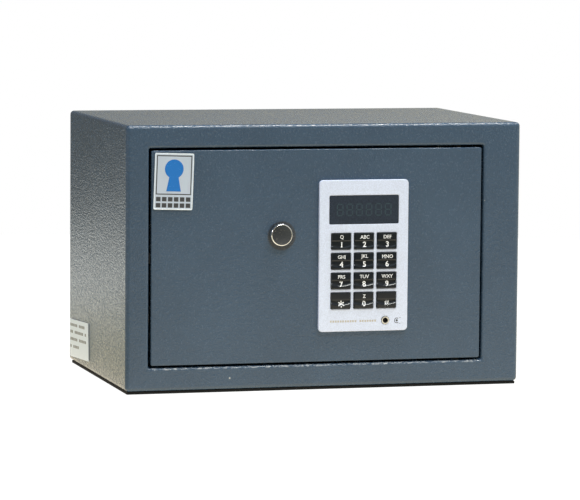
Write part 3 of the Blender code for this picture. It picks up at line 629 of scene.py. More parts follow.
class Skin:
    """A mesh under construction, in the frame's metres."""

    def __init__(self) -> None:
        """Starts empty."""
        self.mesh = bmesh.new()

    def ring(self, points: Iterable[Vector]) -> list[bmesh.types.BMVert]:
        """Adds a closed row of points."""
        return [self.mesh.verts.new(point) for point in points]

    def band(self, near: list, far: list) -> None:
        """Joins two rings of equal length with quads.

        Args:
            near: The first ring.
            far: The second ring.
        """
        for here in range(len(near)):
            there = (here + 1) % len(near)
            self.mesh.faces.new((near[here], near[there], far[there], far[here]))

    def loft(self, rings: Sequence[Iterable[Vector]], loop: bool = False) -> None:
        """Skins a row of rings.

        Args:
            rings: Rings of equal length.
            loop: Joins the last ring to the first; otherwise both ends are closed flat.
        """
        rows = [self.ring(ring) for ring in rings]
        for near, far in zip(rows, rows[1:]):
            self.band(near, far)
        if loop:
            self.band(rows[-1], rows[0])
        else:
            self.mesh.faces.new(rows[0])
            self.mesh.faces.new(rows[-1])

    def turned(self, facing: Facing, centre: Point2, profile: Sequence[Point2], steps: int = 64,
               loop: bool = False) -> None:
        """A turned shape.

        Args:
            facing: The axis it is turned about.
            centre: Where the axis is.
            profile: Its rings, each a radius and a place along the axis.
            steps: Flats round it.
            loop: Joins the last ring to the first; otherwise both ends are closed flat.
        """
        self.loft([[facing.lift(*point, place) for point in disc(centre, radius, steps)]
                   for radius, place in profile], loop)

    def box(self, low: Sequence[float], high: Sequence[float]) -> None:
        """A plain box, used as a cutter or a core."""
        panel = Panel(low[0], high[0], low[2], high[2])
        self.loft([[Facing.Y.lift(*point, y) for point in panel.outline()] for y in (low[1], high[1])])

    def plate(self, facing: Facing, outer: Sequence[Point2], holes: Sequence[Sequence[Point2]], front: float,
              back: float, edge: float, back_edge: float = 0.0, steps: int = 4) -> None:
        """A flat plate with holes and rounded edges.

        Args:
            facing: The axis it lies across.
            outer: Its outline, anticlockwise.
            holes: The holes' outlines, anticlockwise.
            front: Where the face with the rounded edge is.
            back: Where the other face is.
            edge: The front edge's radius.
            back_edge: The back edge's radius, or 0 for a sharp one.
            steps: Flats in each rounded edge.
        """
        sense, guard = 1 if back > front else -1, 0.25 * MM
        levels = [(edge + guard, front)] if edge else []
        for step in range(steps + 1 if edge else 1):
            turn = math.pi / 2 * step / steps
            levels.append((edge * (1 - math.sin(turn)), front + sense * edge * (1 - math.cos(turn))))
        for step in range(steps, -1, -1) if back_edge else [0]:
            turn = math.pi / 2 * step / steps
            inset = back_edge * (1 - math.sin(turn)) if back_edge else 0.0
            levels.append((inset, back - sense * back_edge * (1 - math.cos(turn))))
        if back_edge:
            levels.append((back_edge + guard, back))
        fronts, backs = [], []
        for outline, sign in [(outer, -1), *((hole, 1) for hole in holes)]:
            rows = [self.ring(facing.lift(*point, place) for point in offset(outline, sign * inset))
                    for inset, place in levels]
            for near, far in zip(rows, rows[1:]):
                self.band(near, far)
            fronts.append(rows[0])
            backs.append(rows[-1])
        self.fill(fronts, facing)
        self.fill(backs, facing)

    def fill(self, rings: Sequence[list], facing: Facing) -> None:
        """Fills the flat area between an outer ring and the rings inside it.

        Args:
            rings: The outer ring, then the rings inside it.
            facing: The axis that the area lies across.
        """
        edges = [self.mesh.edges.get((ring[here], ring[here - 1]))
                 for ring in rings for here in range(len(ring))]
        bmesh.ops.triangle_fill(self.mesh, edges=edges, use_beauty=True, normal=facing.lift(0, 0, 1))

    def piece(self, name: str, finish: Finish, sharp: float = CREASE,
              place: Matrix | None = None) -> bpy.types.Object:
        """Closes the mesh into an object.

        Args:
            name: The piece's name.
            finish: Its finish.
            sharp: Edges that turn by more than this many degrees stay sharp.
            place: Where to put it, applied to the mesh.

        Returns:
            The object, at the origin.
        """
        bmesh.ops.remove_doubles(self.mesh, verts=self.mesh.verts, dist=1e-7)
        bmesh.ops.recalc_face_normals(self.mesh, faces=self.mesh.faces)
        data = bpy.data.meshes.new(name)
        self.mesh.to_mesh(data)
        self.mesh.free()
        if place:
            data.transform(place)
        data.shade_smooth()
        data.set_sharp_from_angle(angle=math.radians(sharp))
        return wrap(name, data, finish)


def wrap(name: str, data: bpy.types.Mesh, finish: Finish | None) -> bpy.types.Object:
    """An object in the scene for a mesh, with its finish.

    Args:
        name: The object's name.
        data: The mesh.
        finish: Its finish, or None to keep its materials.

    Returns:
        The object.
    """
    thing = bpy.data.objects.new(name, data)
    bpy.context.scene.collection.objects.link(thing)
    if finish:
        data.materials.clear()
        data.materials.append(finish.material())
    return thing


def evaluated_copy(thing: bpy.types.Object, name: str, finish: Finish | None) -> bpy.types.Object:
    """Turns an object and its modifiers into a plain mesh piece, and removes the original.

    Args:
        thing: The object with its modifiers.
        name: The piece's name.
        finish: Its finish, or None to keep its materials.

    Returns:
        The piece.
    """
    bpy.context.view_layer.update()
    data = bpy.data.meshes.new_from_object(thing.evaluated_get(bpy.context.evaluated_depsgraph_get()))
    data.transform(thing.matrix_world)
    bpy.data.objects.remove(thing, do_unlink=True)
    data.name = name
    return wrap(name, data, finish)


def carve(thing: bpy.types.Object, cutter: Skin) -> bpy.types.Object:
    """Cuts a skin out of a piece.

    Args:
        thing: The piece.
        cutter: What is cut out of it.

    Returns:
        The carved piece, with the same name and finish.
    """
    name, finish_slot = thing.name, thing.data.materials[0]
    tool = cutter.piece(f"{name}_cutter", CHROME)
    step = thing.modifiers.new("cut", "BOOLEAN")
    step.operation, step.solver, step.object = "DIFFERENCE", "EXACT", tool
    thing.name = f"{name}_whole"
    made = evaluated_copy(thing, name, None)
    bpy.data.objects.remove(tool, do_unlink=True)
    made.data.materials.clear()
    made.data.materials.append(finish_slot)
    made.data.set_sharp_from_angle(angle=math.radians(CREASE))
    return made


def turned_piece(name: str, finish: Finish, centre: Point2, profile: Sequence[Point2], steps: int,
                 facing: Facing = Facing.Y, loop: bool = False) -> bpy.types.Object:
    """A turned piece.

    Args:
        name: Its name.
        finish: Its finish.
        centre: Where its axis is.
        profile: Its rings, each a radius and a place along the axis.
        steps: Flats round it.
        facing: The axis it is turned about.
        loop: Joins the last ring to the first, for a tube.

    Returns:
        The piece.
    """
    skin = Skin()
    skin.turned(facing, centre, profile, steps, loop)
    return skin.piece(name, finish)


def plate_piece(name: str, finish: Finish, outer: Sequence[Point2], holes: Sequence[Sequence[Point2]],
                front: float, back: float, edge: float, back_edge: float = 0.0, facing: Facing = Facing.Y,
                place: Matrix | None = None) -> bpy.types.Object:
    """A flat plate as a piece.

    Args:
        name: Its name.
        finish: Its finish.
        outer: Its outline, anticlockwise.
        holes: The holes' outlines, anticlockwise.
        front: Where the face with the rounded edge is.
        back: Where the other face is.
        edge: The front edge's radius.
        back_edge: The back edge's radius, or 0 for a sharp one.
        facing: The axis it lies across.
        place: Where to put it, applied to the mesh.

    Returns:
        The piece.
    """
    skin = Skin()
    skin.plate(facing, outer, holes, front, back, edge, back_edge)
    return skin.piece(name, finish, place=place)


def lettering(body: str, height: float, weight: float = 0.0) -> bpy.types.Mesh:
    """Flat lettering in the built-in font, centred on the origin.

    Args:
        body: The characters.
        height: Their capital height.
        weight: How much each stroke is fattened, as a part of the height.

    Returns:
        The mesh, in its own X and Y.
    """
    curve = bpy.data.curves.new("lettering", "FONT")
    curve.body = body
    curve.align_x, curve.align_y = "CENTER", "CENTER"
    curve.size = height / CAPITAL
    curve.offset = weight * height
    curve.extrude = PRINT_RELIEF
    curve.resolution_u = 4
    thing = bpy.data.objects.new("lettering", curve)
    bpy.context.scene.collection.objects.link(thing)
    bpy.context.view_layer.update()
    data = bpy.data.meshes.new_from_object(thing.evaluated_get(bpy.context.evaluated_depsgraph_get()))
    bpy.data.objects.remove(thing, do_unlink=True)
    return data


def show(thing: bpy.types.Object, body: str, slot: str, *nodes: str) -> bpy.types.Object:
    """Puts a piece on its CAD body and hides the CAD nodes that it stands for.

    Args:
        thing: The piece.
        body: The body that it moves with.
        slot: The record's material slot; not used.
        nodes: The CAD nodes that it stands for.

    Returns:
        The piece.
    """
    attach(thing, body)
    if nodes:
        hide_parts(*nodes)
    log.info("%s: %d faces on %s", thing.name, len(thing.data.polygons), body)
    return thing


# -------------------------------------------------------------------------------- repeats

class Repeat(Tree):
    """A Geometry Nodes tree that puts a shape on every point of its own mesh."""

    def __init__(self, name: str, sizes: dict[str, float], finish: Finish,
                 shape: Callable[[Repeat], Wire]) -> None:
        """Builds the tree.

        Args:
            name: The tree's name.
            sizes: Named sizes, which become inputs of the tree.
            finish: The finish of what it makes.
            shape: Adds the nodes of one shape and returns its geometry.
        """
        super().__init__(bpy.data.node_groups.new(name, "GeometryNodeTree"))
        self.sizes = sizes
        self.tree.interface.new_socket("Geometry", in_out="INPUT", socket_type="NodeSocketGeometry")
        for label, size in sizes.items():
            socket = self.tree.interface.new_socket(label, in_out="INPUT", socket_type="NodeSocketFloat")
            socket.default_value = size
        self.tree.interface.new_socket("Geometry", in_out="OUTPUT", socket_type="NodeSocketGeometry")
        self.source = self.node("NodeGroupInput")
        placed = self.node("GeometryNodeInstanceOnPoints",
                           inputs={"Points": self.wire(self.source), "Instance": shape(self)})
        real = self.node("GeometryNodeRealizeInstances", inputs={0: self.wire(placed)})
        dressed = self.node("GeometryNodeSetMaterial",
                            inputs={"Geometry": self.wire(real), "Material": finish.material()})
        self.node("NodeGroupOutput", inputs={0: self.wire(dressed)})

    def size(self, label: str) -> Wire:
        """One of the tree's named sizes."""
        return self.wire(self.source, label)

    def block(self, width: object, depth: object, height: object) -> Wire:
        """A block of a size along each axis."""
        size = self.node("ShaderNodeCombineXYZ", inputs={0: width, 1: depth, 2: height})
        return self.wire(self.node("GeometryNodeMeshCube", inputs={"Size": self.wire(size)}))

    def moved(self, geometry: Wire, x: object = 0.0, y: object = 0.0, z: object = 0.0,
              turn: Sequence[float] = (0.0, 0.0, 0.0)) -> Wire:
        """Geometry moved and turned.

        Args:
            geometry: What is moved.
            x: How far along X.
            y: How far along Y.
            z: How far along Z.
            turn: The turn about each axis, in radians.

        Returns:
            The moved geometry.
        """
        shift = self.node("ShaderNodeCombineXYZ", inputs={0: x, 1: y, 2: z})
        node = self.node("GeometryNodeTransform", inputs={0: geometry, "Translation": self.wire(shift),
                                                          "Rotation": tuple(turn)})
        return self.wire(node)

    def spread(self, name: str, points: Sequence[Vector]) -> bpy.types.Object:
        """Runs the tree on a mesh of loose points.

        Args:
            name: The piece's name.
            points: Where each copy goes.

        Returns:
            A plain mesh piece.
        """
        data = bpy.data.meshes.new(f"{name}_points")
        data.from_pydata([tuple(point) for point in points], [], [])
        holder = bpy.data.objects.new(f"{name}_points", data)
        bpy.context.scene.collection.objects.link(holder)
        step = holder.modifiers.new("repeat", "NODES")
        step.node_group = self.tree
        sockets = {item.name: item.identifier for item in self.tree.interface.items_tree
                   if item.in_out == "INPUT"}
        for label, size in self.sizes.items():
            step[sockets[label]] = size
        made = evaluated_copy(holder, name, None)
        made.data.set_sharp_from_angle(angle=math.radians(CREASE))
        return made


def cross_screw(tree: Repeat) -> Wire:
    """A round-headed screw with a cross recess, its head towards +Y.

    Args:
        tree: The tree under construction.

    Returns:
        The screw.
    """
    radius, height = tree.size("Radius"), tree.size("Height")
    flats = 40
    skirt = tree.node("GeometryNodeMeshCylinder",
                      inputs={"Vertices": flats, "Side Segments": 1, "Radius": radius, "Depth": height})
    crown = tree.node("GeometryNodeMeshCone",
                      inputs={"Vertices": flats, "Side Segments": 3, "Radius Top": radius * 0.72,
                              "Radius Bottom": radius, "Depth": height * 0.6})
    crown_up = tree.moved(tree.wire(crown), z=height * 0.5)
    head = tree.node("GeometryNodeMeshBoolean", {"operation": "UNION"})
    tree.feed(head.inputs[1], tree.moved(tree.wire(skirt)))
    tree.tree.links.new(crown_up.socket, head.inputs[1])
    slots = [tree.moved(tree.block(radius * wide, radius * deep, height * 1.4), z=height * 1.1)
             for wide, deep in ((1.15, 0.26), (0.26, 1.15))]
    cut = tree.node("GeometryNodeMeshBoolean", {"operation": "DIFFERENCE"}, {0: tree.wire(head)})
    for slot in slots:
        tree.tree.links.new(slot.socket, cut.inputs[1])
    return tree.moved(tree.wire(cut), turn=(-math.pi / 2, 0, 0))


def weld_spot(tree: Repeat) -> Wire:
    """A shallow round spot weld, flattened towards +Y.

    Args:
        tree: The tree under construction.

    Returns:
        The weld.
    """
    dot = tree.node("GeometryNodeMeshUVSphere",
                    inputs={"Segments": 24, "Rings": 10, "Radius": tree.size("Radius")})
    flat = tree.node("GeometryNodeTransform", inputs={0: tree.wire(dot), "Scale": (1.0, 0.12, 1.0)})
    return tree.wire(flat)


def rule_bar(tree: Repeat) -> Wire:
    """A printed bar across Y."""
    return tree.block(tree.size("Width"), tree.size("Thickness"), tree.size("Height"))


def grip_rib(tree: Repeat) -> Wire:
    """A half-round rib that runs along X.

    Args:
        tree: The tree under construction.

    Returns:
        The rib.
    """
    rod = tree.node("GeometryNodeMeshCylinder",
                    inputs={"Vertices": 16, "Radius": tree.size("Radius"), "Depth": tree.size("Length")})
    return tree.moved(tree.wire(rod), turn=(0, math.pi / 2, 0))


# -------------------------------------------------------------------------------- cabinet

@dataclass
class Cabinet:
    """The folded shell with its back, mat and label."""

    sheet: float = 2.0 * MM
    fold: float = 3.0 * MM
    lip_fold: float = 2.0 * MM
    lip_depth: float = 12.0 * MM
    lip_ease: float = 0.3 * MM
    door_gap: float = 1.8 * MM
    corner: float = 1.5 * MM
    least_radius: float = 0.35 * MM
    back_ease: float = 0.2 * MM
    guard: float = 0.3 * MM
    anchor_radius: float = 5.0 * MM
    anchor_x: float = 75.0 * MM
    anchor_y: float = 20.0 * MM
    pin_hole: float = 2.8 * MM
    weld_radius: float = 2.2 * MM
    weld_inset: float = 9.0 * MM
    weld_depth: float = 0.27 * MM
    label_size: Point2 = (68.0 * MM, 30.0 * MM)
    label_tilt: float = -3.0
    label_rows: tuple[tuple[float, int], ...] = ((10.5, 10), (5.0, 11), (-0.8, 11), (-6.6, 6))
    steps: int = 8
    body: str = "cabinet"

    def __post_init__(self) -> None:
        """Reads the frame's places."""
        low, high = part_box("cabinet_shell")
        self.front, self.back = low.y, high.y
        self.outer = Panel.of("cabinet_shell")
        self.opening = Panel.of("door_plate").grown(self.door_gap)

    def build(self) -> None:
        """Builds every piece of the cabinet."""
        show(self.shell(), self.body, "cabinet_paint", "cabinet_shell")
        show(self.back_panel(), self.body, "cabinet_paint", "back_panel")
        show(self.spot_welds(), self.body, "cabinet_paint")
        show(self.mat(), self.body, "felt", "floor_mat")
        for thing, slot, *nodes in self.label():
            show(thing, self.body, slot, *nodes)

    def shell(self) -> bpy.types.Object:
        """The folded sheet: four walls, the border round the door and the lip that returns inwards.

        Returns:
            The piece.
        """
        front, back, fold = self.front, self.back, self.fold
        rows = [(self.outer.grown(-self.back_ease), back, fold - self.back_ease),
                (self.outer, back - self.back_ease, fold),
                (self.outer, front + fold + self.guard, fold)]
        turns = [math.pi / 2 * step / self.steps for step in range(self.steps + 1)]
        for turn in turns:
            inset = fold * (1 - math.cos(turn))
            rows.append((self.outer.grown(-inset), front + fold * (1 - math.sin(turn)), fold - inset))
        rows += [(self.outer.grown(-fold - self.guard), front, self.least_radius),
                 (self.opening.grown(self.lip_fold + self.guard), front, self.corner + self.lip_fold)]
        for turn in turns:
            spread = self.lip_fold * (1 - math.sin(turn))
            rows.append((self.opening.grown(spread), front + self.lip_fold * (1 - math.cos(turn)),
                         self.corner + spread))
        lip_end, inside = front + self.lip_depth, front + self.sheet
        inner, wall = self.opening.grown(self.sheet), self.outer.grown(-self.sheet)
        rows += [(self.opening, lip_end - self.lip_ease, self.corner),
                 (self.opening.grown(self.lip_ease), lip_end, self.corner),
                 (inner, lip_end, self.corner + self.sheet), (inner, inside, self.corner + self.sheet),
                 (wall, inside, fold - self.sheet), (wall, back, fold - self.sheet)]
        skin = Skin()
        skin.loft([self.ring(*row) for row in rows], loop=True)
        return carve(skin.piece("cabinet_body", PAINT), self.drillings())

    def ring(self, panel: Panel, y: float, radius: float) -> Ring:
        """One closed row of points across Y."""
        outline = panel.outline(max(radius, self.least_radius), self.steps, self.guard)
        return [Facing.Y.lift(*point, y) for point in outline]

    def drillings(self) -> Skin:
        """The cutter for the floor's anchor holes and for the pin holes in the lip's edges.

        Returns:
            The cutter.
        """
        cutter = Skin()
        for side in (-1, 1):
            depths = (UNDERSIDE - self.sheet, UNDERSIDE + 2 * self.sheet)
            cutter.turned(Facing.Z, (side * self.anchor_x, self.anchor_y),
                          [(self.anchor_radius, z) for z in depths], 48)
        low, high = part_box("upper_hinge_pin")
        middle = (low + high) / 2
        for edge in (self.opening.bottom, self.opening.top):
            cutter.turned(Facing.Z, (middle.x, middle.y),
                          [(self.pin_hole, edge + side * 2 * self.sheet) for side in (-1, 1)], 32)
        return cutter

    def back_panel(self) -> bpy.types.Object:
        """The flat sheet welded into the back, with its two anchor holes.

        Returns:
            The piece.
        """
        low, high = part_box("back_panel")
        holes = [disc((side * self.anchor_x, self.outer.middle()[1]), self.anchor_radius) for side in (-1, 1)]
        return plate_piece("welded_back", PAINT, Panel.of("back_panel").outline(0.8 * MM, 4), holes,
                           high.y - self.back_ease, low.y, 0.3 * MM)

    def spot_welds(self) -> bpy.types.Object:
        """Painted-over spot welds round the back panel's edge.

        Returns:
            The piece.
        """
        tree = Repeat("spot_welds", {"Radius": self.weld_radius}, PAINT, weld_spot)
        line = Panel.of("back_panel").grown(-self.weld_inset)
        across = [line.left + (line.right - line.left) * step / 6 for step in range(7)]
        upright = [line.bottom + (line.top - line.bottom) * step / 4 for step in range(1, 4)]
        spots = [(x, z) for x in across for z in (line.bottom, line.top)]
        spots += [(x, z) for x in (line.left, line.right) for z in upright]
        return tree.spread("spot_welds", [Vector((x, self.back - self.weld_depth, z)) for x, z in spots])

    def mat(self) -> bpy.types.Object:
        """The flat felt on the floor, with holes over the anchor holes.

        Returns:
            The piece.
        """
        low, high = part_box("floor_mat")
        holes = [disc((side * self.anchor_x, self.anchor_y), self.anchor_radius + 1 * MM) for side in (-1, 1)]
        return plate_piece("felt_mat", FELT, Panel(low.x, high.x, low.y, high.y).outline(3 * MM, 4), holes,
                           high.z, low.z, 0.8 * MM, facing=Facing.Z)

    def label(self) -> list[tuple]:
        """The paper label low on the left side, with plain printed bars.

        Returns:
            Each piece with its material slot and the CAD node that it stands for, if any.
        """
        low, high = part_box("side_label")
        middle = (low + high) / 2
        place = Matrix.Translation((low.x + 0.05 * MM, middle.y, middle.z))
        place = place @ Matrix.Rotation(math.radians(self.label_tilt), 4, "X")
        outline = Panel.around((0, 0), *self.label_size).outline(0.8 * MM, 4)
        paper = plate_piece("label_paper", PAPER, outline, [], 0.0, 0.25 * MM, 0.05 * MM, facing=Facing.X,
                            place=place)
        sizes = {"Width": 0.06 * MM, "Thickness": 4.4 * MM, "Height": 2.2 * MM}
        bars = Repeat("label_bars", sizes, GREY_PRINT, rule_bar)
        start, pitch, proud = 30.5, 5.4, 0.01 * MM
        points = [Vector((-proud, (start - pitch * step) * MM, z * MM))
                  for z, count in self.label_rows for step in range(count)]
        printed = bars.spread("label_rows", [point for step, point in enumerate(points) if step % 7 != 5])
        printed.data.transform(place)
        return [(paper, "label_white", "side_label"), (printed, "label_white")]


# -------------------------------------------------------------------------------- door

@dataclass
class Door:
    """The door's plate, back cover and the small parts on its back."""

    corner: float = 1.5 * MM
    edge: float = 0.8 * MM
    back_edge: float = 0.3 * MM
    lock_hole: float = 6.3 * MM
    keypad_hole: Point2 = (46.5 * MM, 153.8 * MM)
    flange: float = 12.0 * MM
    screw_hole: float = 1.8 * MM
    screw_head: Point2 = (3.2 * MM, 0.8 * MM)
    reset_hole: float = 3.3 * MM
    notch: float = 7.0 * MM
    rib_radius: float = 0.5 * MM
    rib_length: float = 22.0 * MM
    rib_pitch: float = 2.4 * MM
    rib_count: int = 7
    body: str = "door"

    def build(self) -> None:
        """Builds every piece of the door outside the keypad, the lock, the badge and the bolt work."""
        show(self.plate(), self.body, "door_paint", "door_plate")
        show(self.back_cover(), self.body, "cabinet_paint", "door_back_cover")
        show(self.cover_screws(), self.body, "zinc_steel")
        show(self.hatch(), "battery_hatch", "black_plastic", "battery_cover")
        show(self.hatch_ribs(), "battery_hatch", "black_plastic")
        show(self.reset(), "reset", "red_plastic", "reset_button")

    def plate(self) -> bpy.types.Object:
        """The thick front plate, its edges eased.

        Returns:
            The piece.
        """
        low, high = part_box("door_plate")
        mat = Panel.of("keypad_mat").grown(1.2 * MM)
        bottom, top = (UNDERSIDE + height for height in self.keypad_hole)
        holes = [Panel(mat.left, mat.right, bottom, top).outline(),
                 disc(Panel.of("lock_barrel").middle(), self.lock_hole)]
        return plate_piece("door_front", PAINT, Panel.of("door_plate").outline(self.corner, 6), holes, low.y,
                           high.y, self.edge, self.back_edge)

    def back_cover(self) -> bpy.types.Object:
        """The thin sheet on the door's back, with its hatch, button and screw holes.

        Returns:
            The piece.
        """
        low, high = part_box("door_back_cover")
        hatch = Panel.of("battery_cover").grown(0.4 * MM)
        holes = [hatch.outline(1 * MM, 4), disc(Panel.of("reset_button").middle(), self.reset_hole, 40),
                 *(disc(place, self.screw_hole, 24) for place in self.screw_places())]
        return plate_piece("door_inner_cover", PAINT, Panel.of("door_back_cover").outline(2 * MM, 6), holes,
                           high.y, low.y, self.back_edge)

    def screw_places(self) -> list[Point2]:
        """The four cover screws."""
        line = Panel.of("door_frame").grown(-self.flange / 2)
        return [(x, z) for x in (line.left, line.right) for z in (line.bottom, line.top)]

    def cover_screws(self) -> bpy.types.Object:
        """Cross-headed screws at the cover's corners.

        Returns:
            The piece.
        """
        radius, height = self.screw_head
        tree = Repeat("cross_screws", {"Radius": radius, "Height": height}, ZINC, cross_screw)
        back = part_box("door_back_cover")[1].y + height / 2
        return tree.spread("cover_screws", [Vector((x, back, z)) for x, z in self.screw_places()])

    def hatch(self) -> bpy.types.Object:
        """The battery hatch with its finger notch.

        Returns:
            The piece.
        """
        low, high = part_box("battery_cover")
        panel = Panel.of("battery_cover")
        x, flats = panel.middle()[0], 20
        arc = [math.pi - math.pi * step / flats for step in range(flats + 1)]
        top = [(x + self.notch * math.cos(turn), panel.bottom + self.notch * math.sin(turn)) for turn in arc]
        outline = [(panel.left, panel.bottom), *top, (panel.right, panel.bottom), (panel.right, panel.top),
                   (panel.left, panel.top)]
        return plate_piece("battery_hatch_cover", BLACK_PLASTIC, outline, [], high.y, low.y, 0.3 * MM)

    def hatch_ribs(self) -> bpy.types.Object:
        """Grip ribs on the hatch.

        Returns:
            The piece.
        """
        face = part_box("battery_cover")[1].y
        x, z = Panel.of("battery_cover").middle()
        sizes = {"Radius": self.rib_radius, "Length": self.rib_length}
        tree = Repeat("grip_ribs", sizes, BLACK_PLASTIC, grip_rib)
        lowest = z - 14 * MM
        return tree.spread("hatch_grip_ribs", [Vector((x, face, lowest + self.rib_pitch * step))
                                               for step in range(self.rib_count)])

    def reset(self) -> bpy.types.Object:
        """The red button, slightly crowned, on a flange behind the cover.

        Returns:
            The piece.
        """
        low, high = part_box("reset_button")
        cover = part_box("door_back_cover")[0].y
        stem, flange, cap = 2.0 * MM, 4.2 * MM, 3.0 * MM
        profile = [(stem, low.y), (stem, cover - 2.3 * MM), (flange, cover - 2.3 * MM),
                   (flange, cover - 0.3 * MM), (cap, cover - 0.3 * MM), (cap, high.y - 0.5 * MM),
                   (2.8 * MM, high.y - 0.2 * MM), (2.3 * MM, high.y - 0.05 * MM), (1.2 * MM, high.y)]
        return turned_piece("reset_cap", RED, Panel.of("reset_button").middle(), profile, 48)


@dataclass
class Badge:
    """The badge: a rimmed silver plate, a dark inner frame, a blue keyhole and two rows of plain bars."""

    size: Point2 = (30.0 * MM, 42.4 * MM)
    corner: float = 1.0 * MM
    tilt: float = 1.8
    sunk: float = 0.12 * MM
    print_depth: float = 0.1 * MM
    rim: float = 0.85 * MM
    border: float = 1.4 * MM
    line: float = 0.75 * MM
    bar_size: Point2 = (3.5 * MM, 3.3 * MM)
    bar_pitch: float = 4.6
    bar_rows: tuple[float, ...] = (-13.3, -17.9)
    body: str = "door"

    def __post_init__(self) -> None:
        """Reads the badge's place."""
        low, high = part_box("badge_plate")
        x, z = Panel.of("badge_plate").middle()
        self.front, self.back, self.face = low.y, high.y, low.y + self.sunk
        self.whole = Panel.around((0, 0), *self.size)
        self.place = Matrix.Translation((x, 0, z)) @ Matrix.Rotation(math.radians(self.tilt), 4, "Y")
        self.box = Panel(self.whole.left + self.border, self.whole.right - self.border,
                         self.whole.top - 31.1 * MM, self.whole.top - 1.6 * MM)

    def build(self) -> None:
        """Builds the badge's pieces."""
        bars = self.bars()
        show(self.plate(), self.body, "badge_metal", "badge_plate")
        for thing in (self.rim_piece(), self.frame_line(), self.keyhole(), bars):
            show(thing, self.body, "badge_metal")

    def plate(self) -> bpy.types.Object:
        """The silver plate behind the print."""
        return plate_piece("badge_face", BADGE_SILVER, self.whole.outline(self.corner), [], self.face,
                           self.back, 0.2 * MM, place=self.place)

    def rim_piece(self) -> bpy.types.Object:
        """The bright raised rim.

        Returns:
            The piece.
        """
        hole = self.whole.grown(-self.rim).outline(0.5 * MM)
        return plate_piece("badge_rim", BADGE_RIM, self.whole.outline(self.corner), [hole], self.front,
                           self.face + self.print_depth, 0.1 * MM, place=self.place)

    def frame_line(self) -> bpy.types.Object:
        """The dark line round the keyhole.

        Returns:
            The piece.
        """
        hole = self.box.grown(-self.line).outline(0.2 * MM)
        return plate_piece("badge_frame_line", DARK_PRINT, self.box.outline(0.3 * MM), [hole],
                           self.face - self.print_depth / 2, self.face + self.print_depth, 0.0,
                           place=self.place)

    def keyhole(self) -> bpy.types.Object:
        """A blue keyhole: a round head over a stem that widens downwards.

        Returns:
            The piece.
        """
        radius, height, flats = 7.2 * MM, 24.0 * MM, 36
        x, z = 0.0, self.box.top - 10.2 * MM
        sweep = [math.radians(-60 + 300 * step / flats) for step in range(flats + 1)]
        head = [(x + radius * math.cos(turn), z + radius * math.sin(turn)) for turn in sweep]
        half_foot, foot = radius * 0.78, z + radius - height
        outline = [*head, (x - half_foot, foot), (x + half_foot, foot)]
        return plate_piece("badge_keyhole", BLUE_PRINT, outline, [], self.face - self.print_depth,
                           self.face + self.print_depth, 0.05 * MM, place=self.place)

    def bars(self) -> bpy.types.Object:
        """Two rows of plain dark bars.

        Returns:
            The piece.
        """
        width, height = self.bar_size
        sizes = {"Width": width, "Thickness": self.print_depth, "Height": height}
        tree = Repeat("badge_bars", sizes, DARK_PRINT, rule_bar)
        places = [(self.bar_pitch * (step - 2.5), z) for z in self.bar_rows for step in range(6)]
        printed = tree.spread("badge_bars", [Vector((x * MM, self.face, z * MM)) for x, z in places])
        printed.data.transform(self.place)
        return printed


# -------------------------------------------------------------------------------- keypad

